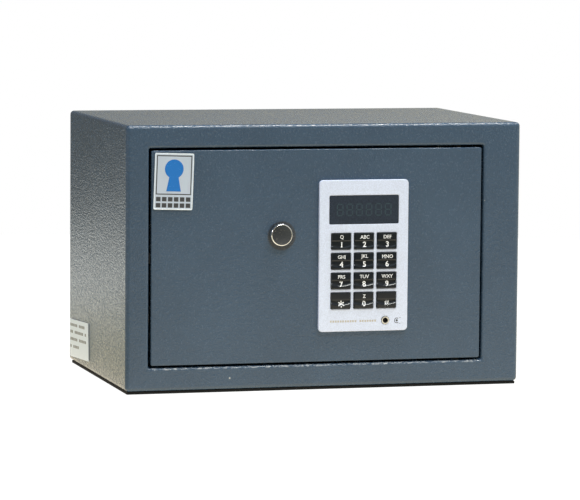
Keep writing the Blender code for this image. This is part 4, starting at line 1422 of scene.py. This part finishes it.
@dataclass
class Keypad:
    """The silver panel with its window, keys, jack and polarity mark."""

    corner: float = 3.0 * MM
    edge: float = 0.45 * MM
    clearance: float = 0.25 * MM
    flange: float = 0.8 * MM
    flange_depth: float = 1.0 * MM
    key_ease: float = 0.45 * MM
    crease: float = 0.4 * MM
    crease_depth: float = 0.12 * MM
    crease_spread: float = 0.28 * MM
    step: float = 0.6 * MM
    scoop_depth: tuple[float, ...] = (0.60 * MM, 0.71 * MM, 0.95 * MM, 0.95 * MM)
    scoop_radius: float = 3.2 * MM
    hollow: tuple[float, ...] = (-3.3 * MM, -2.6 * MM, -1.8 * MM, -1.2 * MM)
    hollow_curl: float = 24.0
    legends: dict[str, tuple[str, str]] = field(default_factory=lambda: {
        "1": ("Q", "1"), "2": ("ABC", "2"), "3": ("DEF", "3"), "4": ("GHI", "4"), "5": ("JKL", "5"),
        "6": ("MNO", "6"), "7": ("PRS", "7"), "8": ("TUV", "8"), "9": ("WXY", "9"), "star": ("", "*"),
        "0": ("Z", "0"), "hash": ("", "#")})
    letter_size: float = 2.75 * MM
    letter_rise: float = 3.2 * MM
    letter_weight: float = 0.004
    digit_size: float = 4.1 * MM
    digit_rise: float = -2.45 * MM
    digit_weight: float = 0.025
    legend_shift: float = 0.3 * MM
    foot_height: float = 0.08
    foot_reach: float = 0.06
    body: str = "door"

    def __post_init__(self) -> None:
        """Reads the keys' caps, which stand inside their flanges by a fixed amount."""
        self.keys = {name: Panel.of(f"key_{name}").grown(-self.flange) for name in self.legends}
        jack = Panel.of("power_jack")
        self.jack: Point2 = (jack.middle()[0], jack.bottom + 3.1 * MM)
        self.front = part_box("keypad_bezel")[0].y

    def build(self) -> None:
        """Builds every piece of the keypad."""
        show(self.bezel(), self.body, "silver_plastic", "keypad_bezel")
        show(self.lens(), self.body, "smoked_window", "display_lens")
        show(self.unlit_digits(), self.body, "smoked_window")
        show(self.jack_collar(), self.body, "plain_steel", "power_jack")
        show(self.jack_bore(), self.body, "black_plastic")
        show(self.polarity_mark(), self.body, "silver_plastic")
        show(self.printed_dashes(), self.body, "silver_plastic")
        for name in self.legends:
            show(self.key(name), f"button_{name}", "key_black", f"key_{name}")
            show(self.legend(name), f"button_{name}", "key_black")

    def bezel(self) -> bpy.types.Object:
        """The moulded panel with eased windows.

        Returns:
            The piece.
        """
        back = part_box("door_plate")[0].y - 0.05 * MM
        window = Panel.of("display_lens").grown(self.clearance)
        holes = [cap.grown(self.clearance).outline(0.7 * MM, 4) for cap in self.keys.values()]
        holes += [window.outline(1.2 * MM, 5), disc(self.jack, 3.2 * MM)]
        return plate_piece("keypad_panel", SILVER, Panel.of("keypad_bezel").outline(self.corner, 8), holes,
                           self.front, back, self.edge)

    def lens(self) -> bpy.types.Object:
        """The smoked window, set just under the panel's face.

        Returns:
            The piece.
        """
        low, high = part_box("display_lens")
        outline = Panel.of("display_lens").grown(0.15 * MM).outline(1.0 * MM, 5)
        return plate_piece("display_window", WINDOW, outline, [], low.y, high.y, 0.25 * MM)

    def unlit_digits(self) -> bpy.types.Object:
        """Six unlit seven-segment digits that just show in the window.

        Returns:
            The piece.
        """
        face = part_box("display_lens")[0].y
        x, z = Panel.of("display_lens").middle()
        width, height, bar, pitch = 4.4 * MM, 8.6 * MM, 1.0 * MM, 7.6 * MM
        level, upright = (width - bar * 0.9, bar), (bar, height / 2 - bar * 0.9)
        segments = [(0, v, level) for v in (1, 0, -1)]
        segments += [(u, v, upright) for v in (0.5, -0.5) for u in (-1, 1)]
        skin = Skin()
        for digit in range(6):
            for u, v, size in segments:
                middle = (x + (digit - 2.5) * pitch + u * width / 2, z + v * height / 2)
                skin.plate(Facing.Y, Panel.around(middle, *size).outline(0.3 * MM, 3, 0.05 * MM), [],
                           face - 0.03 * MM, face + 0.05 * MM, 0.0)
        return skin.piece("unlit_digits", FAINT_PRINT)

    def depth_at(self, name: str, u: float, v: float) -> float:
        """How far a key's face lies behind its front plane.

        Args:
            name: The key.
            u: Distance to the right of the key's centre.
            v: Distance above it.

        Returns:
            The depth in metres.
        """
        crease = self.crease_depth * math.exp(-((v - self.crease) / self.crease_spread) ** 2)
        if v >= self.crease:
            return crease
        row = self.row_of(name)
        hollow, deepest = self.hollow[row] + self.hollow_curl * u * u, self.scoop_depth[row]
        if v > hollow or self.crease - v < self.step:
            fall = min((self.crease - v) / self.step, 1.0)
            scoop = deepest * fall * fall * (3 - 2 * fall)
        else:
            scoop = deepest - (hollow - v) ** 2 / (2 * self.scoop_radius)
        return max(crease, scoop)

    @staticmethod
    def row_of(name: str) -> int:
        """The key's row, from the top."""
        return 3 if name in ("star", "0", "hash") else (int(name) - 1) // 3

    def key(self, name: str) -> bpy.types.Object:
        """A key: a flat upper half, a crease and a scooped lower half.

        Args:
            name: The key's name.

        Returns:
            The piece.
        """
        cap = self.keys[name]
        low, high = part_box(f"key_{name}")
        columns, rows, ease = 48, 64, self.key_ease
        (x, z), skin = cap.middle(), Skin()
        half_u, half_v = (cap.right - cap.left) / 2, (cap.top - cap.bottom) / 2
        grid = []
        for row in range(rows + 1):
            v = half_v * (2 * row / rows - 1)
            line = []
            for column in range(columns + 1):
                u = half_u * (2 * column / columns - 1)
                margin = min(half_u - abs(u), half_v - abs(v))
                rounding = ease * (1 - math.sqrt(max(0.0, 1 - (1 - min(margin / ease, 1)) ** 2)))
                line.append(skin.mesh.verts.new((x + u, low.y + rounding + self.depth_at(name, u, v), z + v)))
            grid.append(line)
        for near, far in zip(grid, grid[1:]):
            for column in range(columns):
                skin.mesh.faces.new((near[column], near[column + 1], far[column + 1], far[column]))
        rim = grid[0][:-1] + [line[-1] for line in grid[:-1]]
        rim += grid[-1][:0:-1] + [line[0] for line in grid[:0:-1]]
        flange = cap.grown(self.flange)
        flange_front = high.y - self.flange_depth
        rings = [rim]
        for panel, y in ((cap, flange_front), (flange, flange_front), (flange, high.y)):
            wide, tall = (panel.right - panel.left) / 2 / half_u, (panel.top - panel.bottom) / 2 / half_v
            rings.append(skin.ring(Vector((x + (point.co.x - x) * wide, y, z + (point.co.z - z) * tall))
                                   for point in rim))
        for near, far in zip(rings, rings[1:]):
            skin.band(near, far)
        skin.mesh.faces.new(rings[-1])
        return skin.piece(f"key_cap_{name}", KEY_BLACK, 32)

    def legend(self, name: str) -> bpy.types.Object:
        """The key's white letters and digit, laid on its curved face.

        Args:
            name: The key's name.

        Returns:
            The piece.
        """
        cap, face = self.keys[name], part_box(f"key_{name}")[0].y
        x, z = cap.middle()
        letters, digit = self.legends[name]
        skin, proud = Skin(), 0.015 * MM
        signs = {"star": (8.0 * MM, 0.015), "hash": (4.6 * MM, 0.0)}
        size, weight = signs.get(name, (self.digit_size, self.digit_weight))
        rows = [(digit, size, self.digit_rise, weight)]
        rows += [(letters, self.letter_size, self.letter_rise, self.letter_weight)] if letters else []
        for text, height, rise, fattened in rows:
            data = lettering(text, height, fattened)
            patch = bmesh.new()
            patch.from_mesh(data)
            if text.isalnum():
                self.add_feet(patch, height)
            across, upright = ([point.co[axis] for point in patch.verts] for axis in (0, 1))
            centre_u, centre_v = ((max(values) + min(values)) / 2 for values in (across, upright))
            for point in patch.verts:
                u, v = point.co.x - centre_u + self.legend_shift, point.co.y - centre_v + rise
                point.co = Vector((x + u, face + self.depth_at(name, u, v) - point.co.z - proud, z + v))
            patch.to_mesh(data)
            patch.free()
            skin.mesh.from_mesh(data)
        return skin.piece(f"key_legend_{name}", WHITE_PRINT)

    def add_feet(self, patch: bmesh.types.BMesh, height: float) -> None:
        """Adds a slab foot to each straight stroke's end at the top and bottom of a row of lettering.

        Args:
            patch: The lettering.
            height: Its capital height.
        """
        top, bottom = (pick(point.co.y for point in patch.verts) for pick in (max, min))
        slab, reach, ends = self.foot_height * height, self.foot_reach * height, set()
        near_end, widest_stroke, flat = 0.03 * height, 0.3 * height, 1e-6
        for edge in patch.edges:
            one, two = (point.co for point in edge.verts)
            level, width = (one.y + two.y) / 2, abs(one.x - two.x)
            at_end = min(top - level, level - bottom) < near_end
            in_front = one.z > 0 and two.z > 0
            if at_end and in_front and abs(one.y - two.y) < flat and 0 < width < widest_stroke:
                ends.add((round(min(one.x, two.x), 6), round(max(one.x, two.x), 6), level))
        for left, right, level in sorted(ends):
            inward = slab if level < (top + bottom) / 2 else -slab
            low, high = sorted((level, level + inward))
            corners = [(left - reach, low), (right + reach, low), (right + reach, high), (left - reach, high)]
            depths = (-PRINT_RELIEF, PRINT_RELIEF + 0.001 * MM)
            rings = [[patch.verts.new((x, y, z)) for x, y in corners] for z in depths]
            for here in range(4):
                there = (here + 1) % 4
                patch.faces.new((rings[0][here], rings[0][there], rings[1][there], rings[1][here]))
            patch.faces.new(rings[0][::-1])
            patch.faces.new(rings[1])

    def jack_collar(self) -> bpy.types.Object:
        """The round jack's eased collar.

        Returns:
            The piece.
        """
        low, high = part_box("power_jack")
        outer = 2.95 * MM
        profile = [(1.95 * MM, high.y), (1.95 * MM, low.y + 0.35 * MM), (2.1 * MM, low.y + 0.08 * MM),
                   (2.3 * MM, low.y), (2.65 * MM, low.y), (2.88 * MM, low.y + 0.12 * MM),
                   (outer, low.y + 0.4 * MM), (outer, high.y)]
        return turned_piece("jack_collar", ZINC, self.jack, profile, 48, loop=True)

    def jack_bore(self) -> bpy.types.Object:
        """The jack's black inside, with its contact pin.

        Returns:
            The piece.
        """
        low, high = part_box("power_jack")
        mouth, floor = low.y + 0.5 * MM, low.y + 6 * MM
        outer, bore, pin = 1.92 * MM, 1.6 * MM, 0.5 * MM
        profile = [(outer, high.y - 0.1 * MM), (outer, mouth), (bore, mouth), (bore, floor), (pin, floor),
                   (pin, mouth + 0.9 * MM), (0.3 * MM, mouth + 0.6 * MM)]
        return turned_piece("jack_bore", BLACK_PLASTIC, self.jack, profile, 40)

    def printed_dashes(self) -> bpy.types.Object:
        """Two groups of small tan dashes printed beside the jack.

        Returns:
            The piece.
        """
        left, z = Panel.of("keypad_bezel").left + 9.6 * MM, self.jack[1] - 0.2 * MM
        pitch, groups = 1.95, ((0.0, 11), (23.4, 7))
        sizes = {"Width": 1.35 * MM, "Thickness": 0.06 * MM, "Height": 1.5 * MM}
        tree = Repeat("printed_dashes", sizes, TAN_PRINT, rule_bar)
        places = [start + step * pitch for start, count in groups for step in range(count)]
        return tree.spread("printed_dashes", [Vector((left + place * MM, self.front, z)) for place in places])

    def polarity_mark(self) -> bpy.types.Object:
        """The printed arc, dot and two dashes beside the jack.

        Returns:
            The piece.
        """
        face, back = self.front - 0.03 * MM, self.front + 0.07 * MM
        x, z = self.jack[0] + 9.2 * MM, self.jack[1] - 0.4 * MM
        arc = [math.radians(50 + 260 * step / 24) for step in range(25)]
        outer = [(x + 2.1 * MM * math.cos(turn), z + 2.1 * MM * math.sin(turn)) for turn in arc]
        inner = [(x + 1.6 * MM * math.cos(turn), z + 1.6 * MM * math.sin(turn)) for turn in reversed(arc)]
        dashes = [Panel.around((x + u * MM, z + v * MM), 1.1 * MM, 0.3 * MM).outline()
                  for u, v in ((2.6, 2.1), (2.3, -2.2))]
        skin = Skin()
        for outline in (outer + inner, disc((x, z), 0.85 * MM, 24), *dashes):
            skin.plate(Facing.Y, outline, [], face, back, 0.0)
        return skin.piece("polarity_mark", DARK_PRINT)


# -------------------------------------------------------------------------------- lock and bolts

@dataclass
class LockAndBolts:
    """The emergency lock under its cap, and the locking bolts."""

    cap_radius: float = 8.45 * MM
    cap_bore: float = 7.9 * MM
    face_radius: float = 7.5 * MM
    barrel_bore: float = 3.5 * MM
    barrel_head: float = 7.6 * MM
    barrel_radius: float = 6.0 * MM
    plug_radius: float = 3.2 * MM
    keyway_half: float = 0.6 * MM
    bolt_radius: float = 8.0 * MM
    pin_radius: float = 2.5 * MM

    def __post_init__(self) -> None:
        """Reads the lock's axis."""
        self.centre = Panel.of("lock_barrel").middle()

    def build(self) -> None:
        """Builds the lock's visible pieces and the bolts."""
        show(self.cap_ring(), "cap", "chrome", "lock_cap")
        show(self.cap_face(), "cap", "chrome")
        show(self.barrel(), "door", "plain_steel", "lock_barrel")
        show(self.plug(), "lock_core", "brass", "lock_plug")
        for side in ("upper", "lower"):
            show(self.bolt(side), "bolt_work", "bolt_steel", f"{side}_bolt")
            show(self.hinge_pin(side), "door", "zinc_steel", f"{side}_hinge_pin")

    def cap_ring(self) -> bpy.types.Object:
        """The cap: a bright bevelled ring round a recess for its face, hollow behind.

        Returns:
            The piece.
        """
        low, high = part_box("lock_cap")
        bevel = ((0.0, 0.95), (0.06, 0.62), (0.24, 0.30), (0.50, 0.08), (0.72, 0.0), (0.88, 0.03),
                 (0.95, 0.22))
        profile = [(self.cap_bore, high.y - 1.9 * MM), (self.cap_bore, high.y), (self.cap_radius, high.y)]
        profile += [(self.cap_radius - inset * MM, low.y + depth * MM) for inset, depth in bevel]
        return turned_piece("cap_ring", CHROME, self.centre, profile, 96)

    def cap_face(self) -> bpy.types.Object:
        """The cap's polished face, very slightly dished, coloured dark with warm patches as a painted
        reflection of a dark room.

        Returns:
            The piece.
        """
        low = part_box("lock_cap")[0]
        rings, dish = 8, 0.15 * MM
        profile = [(self.face_radius * step / rings, low.y + 0.05 * MM + dish * (step / rings) ** 2)
                   for step in range(1, rings + 1)]
        profile += [(self.face_radius, low.y + 0.6 * MM)]
        return turned_piece("cap_face", DARK_REFLECTION_CHROME, self.centre, profile, 96)

    def barrel(self) -> bpy.types.Object:
        """The lock's fixed barrel with its head.

        Returns:
            The piece.
        """
        low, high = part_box("lock_barrel")
        neck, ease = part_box("door_plate")[0].y - 0.3 * MM, 0.3 * MM
        profile = [(self.barrel_bore, low.y + 0.2 * MM), (self.barrel_bore + 0.2 * MM, low.y),
                   (self.barrel_head - ease, low.y), (self.barrel_head, low.y + ease),
                   (self.barrel_head, neck), (self.barrel_radius, neck), (self.barrel_radius, high.y),
                   (self.barrel_bore, high.y)]
        return turned_piece("emergency_lock_barrel", PLAIN_STEEL, self.centre, profile, 72, loop=True)

    def plug(self) -> bpy.types.Object:
        """The turning plug with its keyway.

        Returns:
            The piece.
        """
        low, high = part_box("lock_plug")
        ease, (x, z) = 0.2 * MM, self.centre
        profile = [(self.plug_radius - ease, low.y), (self.plug_radius, low.y + ease),
                   (self.plug_radius, high.y)]
        keyway = Skin()
        keyway.box((x - self.keyway_half, low.y - 1 * MM, z - 2 * MM),
                   (x + self.keyway_half, low.y + 9 * MM, z + 2.4 * MM))
        return carve(turned_piece("emergency_lock_plug", BRASS, self.centre, profile, 64), keyway)

    def bolt(self, side: str) -> bpy.types.Object:
        """A round bolt with a rounded tip, slotted at its root for the carriage.

        Args:
            side: "upper" or "lower".

        Returns:
            The piece.
        """
        low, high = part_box(f"{side}_bolt")
        y, z = (low.y + high.y) / 2, (low.z + high.z) / 2
        tip = ((1.6, 0.0), (0.9, 0.12), (0.3, 0.55), (0.0, 1.5))
        profile = [(self.bolt_radius - inset * MM, low.x + depth * MM) for inset, depth in tip]
        profile += [(self.bolt_radius, high.x - 0.4 * MM), (self.bolt_radius - 0.4 * MM, high.x)]
        front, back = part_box("bolt_carriage")
        slot, ease = Skin(), 0.3 * MM
        slot.box((front.x - 0.5 * MM, front.y - ease, z - 10 * MM),
                 (high.x + 2 * MM, back.y + ease, z + 10 * MM))
        whole = turned_piece(f"{side}_locking_bolt", BOLT_STEEL, (y, z), profile, 72, Facing.X)
        return carve(whole, slot)

    def hinge_pin(self, side: str) -> bpy.types.Object:
        """A hinge pin with rounded ends.

        Args:
            side: "upper" or "lower".

        Returns:
            The piece.
        """
        low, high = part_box(f"{side}_hinge_pin")
        centre = ((low.x + high.x) / 2, (low.y + high.y) / 2)
        rounding = ((0.6, 0.0), (0.2, 0.2), (0.0, 0.7))
        ends = [(self.pin_radius - inset * MM, depth * MM) for inset, depth in rounding]
        profile = [(radius, low.z + depth) for radius, depth in ends]
        profile += [(radius, high.z - depth) for radius, depth in reversed(ends)]
        return turned_piece(f"{side}_pivot_pin", GREASED, centre, profile, 40, Facing.Z)


# -------------------------------------------------------------------------------- studio

@dataclass
class Studio:
    """The pale floor, soft lights and camera."""

    camera_place: Vector = field(default_factory=lambda: Vector((-0.7471, -2.6746, UNDERSIDE + 0.3608)))
    azimuth: float = 15.605
    elevation: float = 5.47
    roll: float = 0.46
    lens: float = 220.5
    sensor: float = 36.0
    aim: tuple[float, float, float] = (0.0, 0.0, 0.1)
    floor_radius: float = 1.2
    floor_drop: float = 0.3 * MM

    def build(self) -> None:
        """Sets up the whole studio."""
        self.floor()
        self.world()
        self.lamp("key", (0.12, -1.0, 1.55), (1.10, 0.14), 14.5, (0.96, 0.98, 0.94))
        self.lamp("front", (0.25, -1.95, 1.45), (0.6, 0.6), 1.6, (0.84, 0.96, 1.0))
        self.lamp("overhead", (0.42, -0.28, 1.6), (0.46, 0.14), 17.5, (1.0, 0.98, 0.92))
        self.lamp("side", (-1.6, -0.3, 0.9), (0.3, 0.3), 8.4, (0.88, 0.90, 1.0))
        self.camera()
        bpy.context.scene.view_settings.view_transform = "Standard"
        bpy.context.scene.view_settings.look = "None"

    def floor(self) -> None:
        """A pale round floor, lit from within like a light table, which keeps only a faint shadow."""
        skin = Skin()
        rim = disc((0, 0), self.floor_radius, 96)
        skin.mesh.faces.new(skin.ring(Facing.Z.lift(*point, -self.floor_drop) for point in rim))
        surface = Surface("pale_floor")
        tone = surface.noise(0.25, 3.0)
        parts = surface.node("ShaderNodeSeparateXYZ", inputs={0: surface.place})
        x, y = surface.wire(parts, 0), surface.wire(parts, 1)
        back, left, ahead = y.above(-0.4, 0.4), (x * -1).above(0.15, 0.19), y.above(-0.95, -0.45)
        far = surface.vector("LENGTH", surface.place, output=1).above(0.32, 0.62)
        front = surface.mix(ahead, (0.06, 0.055, 0.045), (1.45, 1.26, 0.92))
        near = surface.mix(left, front, (0.66, 0.62, 0.37))
        glow = surface.mix(far, near, surface.mix(back, front, (1.22, 1.22, 1.12)))
        seen = surface.wire(surface.node("ShaderNodeLightPath"), "Is Camera Ray")
        surface.shade(base_color=surface.mix(tone, (0.11, 0.11, 0.10), (0.12, 0.12, 0.11)), roughness=0.7,
                      emission_color=surface.mix(seen, glow, (1.0, 1.0, 1.0)), emission_strength=1.0)
        data = bpy.data.meshes.new("pale_floor")
        skin.mesh.to_mesh(data)
        skin.mesh.free()
        data.materials.append(surface.material)
        wrap("pale_floor", data, None)

    def world(self) -> None:
        """A white backdrop for the camera, and a dim warm room for the reflections, lighter to the right."""
        world = bpy.data.worlds.new("room")
        bpy.context.scene.world = world
        world.use_nodes = True
        tree = Tree(world.node_tree)
        tree.tree.nodes.clear()
        toward = tree.wire(tree.node("ShaderNodeTexCoord"), "Generated")
        parts = tree.node("ShaderNodeSeparateXYZ", inputs={0: toward})
        across, height = tree.wire(parts, 0), tree.wire(parts, 2)
        stops = [(0.0, (0.10, 0.10, 0.09)), (0.40, (0.22, 0.21, 0.165)), (0.47, (0.36, 0.34, 0.25)),
                 (0.53, (0.44, 0.41, 0.31)), (0.62, (0.42, 0.41, 0.36)), (1.0, (0.32, 0.34, 0.38))]
        ramp = tree.node("ShaderNodeValToRGB", {"stops": stops}, {0: height * 0.5 + 0.5})
        strength = across.above(0.0, 0.6) * 1.55 + 0.455
        room = tree.node("ShaderNodeBackground", inputs={"Color": tree.wire(ramp), "Strength": strength})
        white = tree.node("ShaderNodeBackground", inputs={"Color": (1, 1, 1, 1), "Strength": 1.0})
        seen = tree.wire(tree.node("ShaderNodeLightPath"), "Is Camera Ray")
        both = tree.node("ShaderNodeMixShader", inputs={0: seen, 1: tree.wire(room), 2: tree.wire(white)})
        tree.node("ShaderNodeOutputWorld", inputs={"Surface": tree.wire(both)})

    def lamp(self, name: str, place: Sequence[float], size: Point2, power: float, color: Color) -> None:
        """A rectangular soft light that faces the safe.

        Args:
            name: Its name.
            place: Where it stands.
            size: Its width and height.
            power: Its power in watts.
            color: Its colour.
        """
        data = bpy.data.lights.new(name, "AREA")
        data.shape = "RECTANGLE"
        data.size, data.size_y = size
        data.energy = power
        data.color = color
        thing = bpy.data.objects.new(name, data)
        thing.location = place
        thing.rotation_euler = (Vector(self.aim) - Vector(place)).to_track_quat("-Z", "Y").to_euler()
        bpy.context.scene.collection.objects.link(thing)

    def camera(self) -> None:
        """A long lens from the front left, a little above."""
        turn, dip, roll = (math.radians(a) for a in (self.azimuth, self.elevation, self.roll))
        ahead = Vector((math.sin(turn) * math.cos(dip), math.cos(turn) * math.cos(dip), -math.sin(dip)))
        right = ahead.cross(Vector((0, 0, 1))).normalized()
        up = right.cross(ahead)
        across = right * math.cos(roll) + up * math.sin(roll)
        upward = up * math.cos(roll) - right * math.sin(roll)
        data = bpy.data.cameras.new("camera")
        data.lens, data.sensor_width = self.lens, self.sensor
        data.clip_start, data.clip_end = 0.1, 60.0
        thing = bpy.data.objects.new("camera", data)
        turned = Matrix((across, upward, -ahead)).transposed().to_4x4()
        thing.matrix_world = Matrix.Translation(self.camera_place) @ turned
        bpy.context.scene.collection.objects.link(thing)
        bpy.context.scene.camera = thing


def dress_cad_nodes() -> None:
    """Gives each CAD node the finish of its slot in the record."""
    for row in frame["record"]["subparts"]:
        thing = frame["nodes"][row["node"]]
        finish = SLOT_FINISHES[row["material_slot"]]
        for slot in thing.material_slots:
            slot.material = finish.material()


def main() -> None:
    """Builds the looks."""
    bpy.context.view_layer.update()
    dress_cad_nodes()
    for part in (Studio(), Cabinet(), Door(), Badge(), Keypad(), LockAndBolts()):
        log.info("building %s", type(part).__name__)
        part.build()


if __name__ == "__main__":
    main()
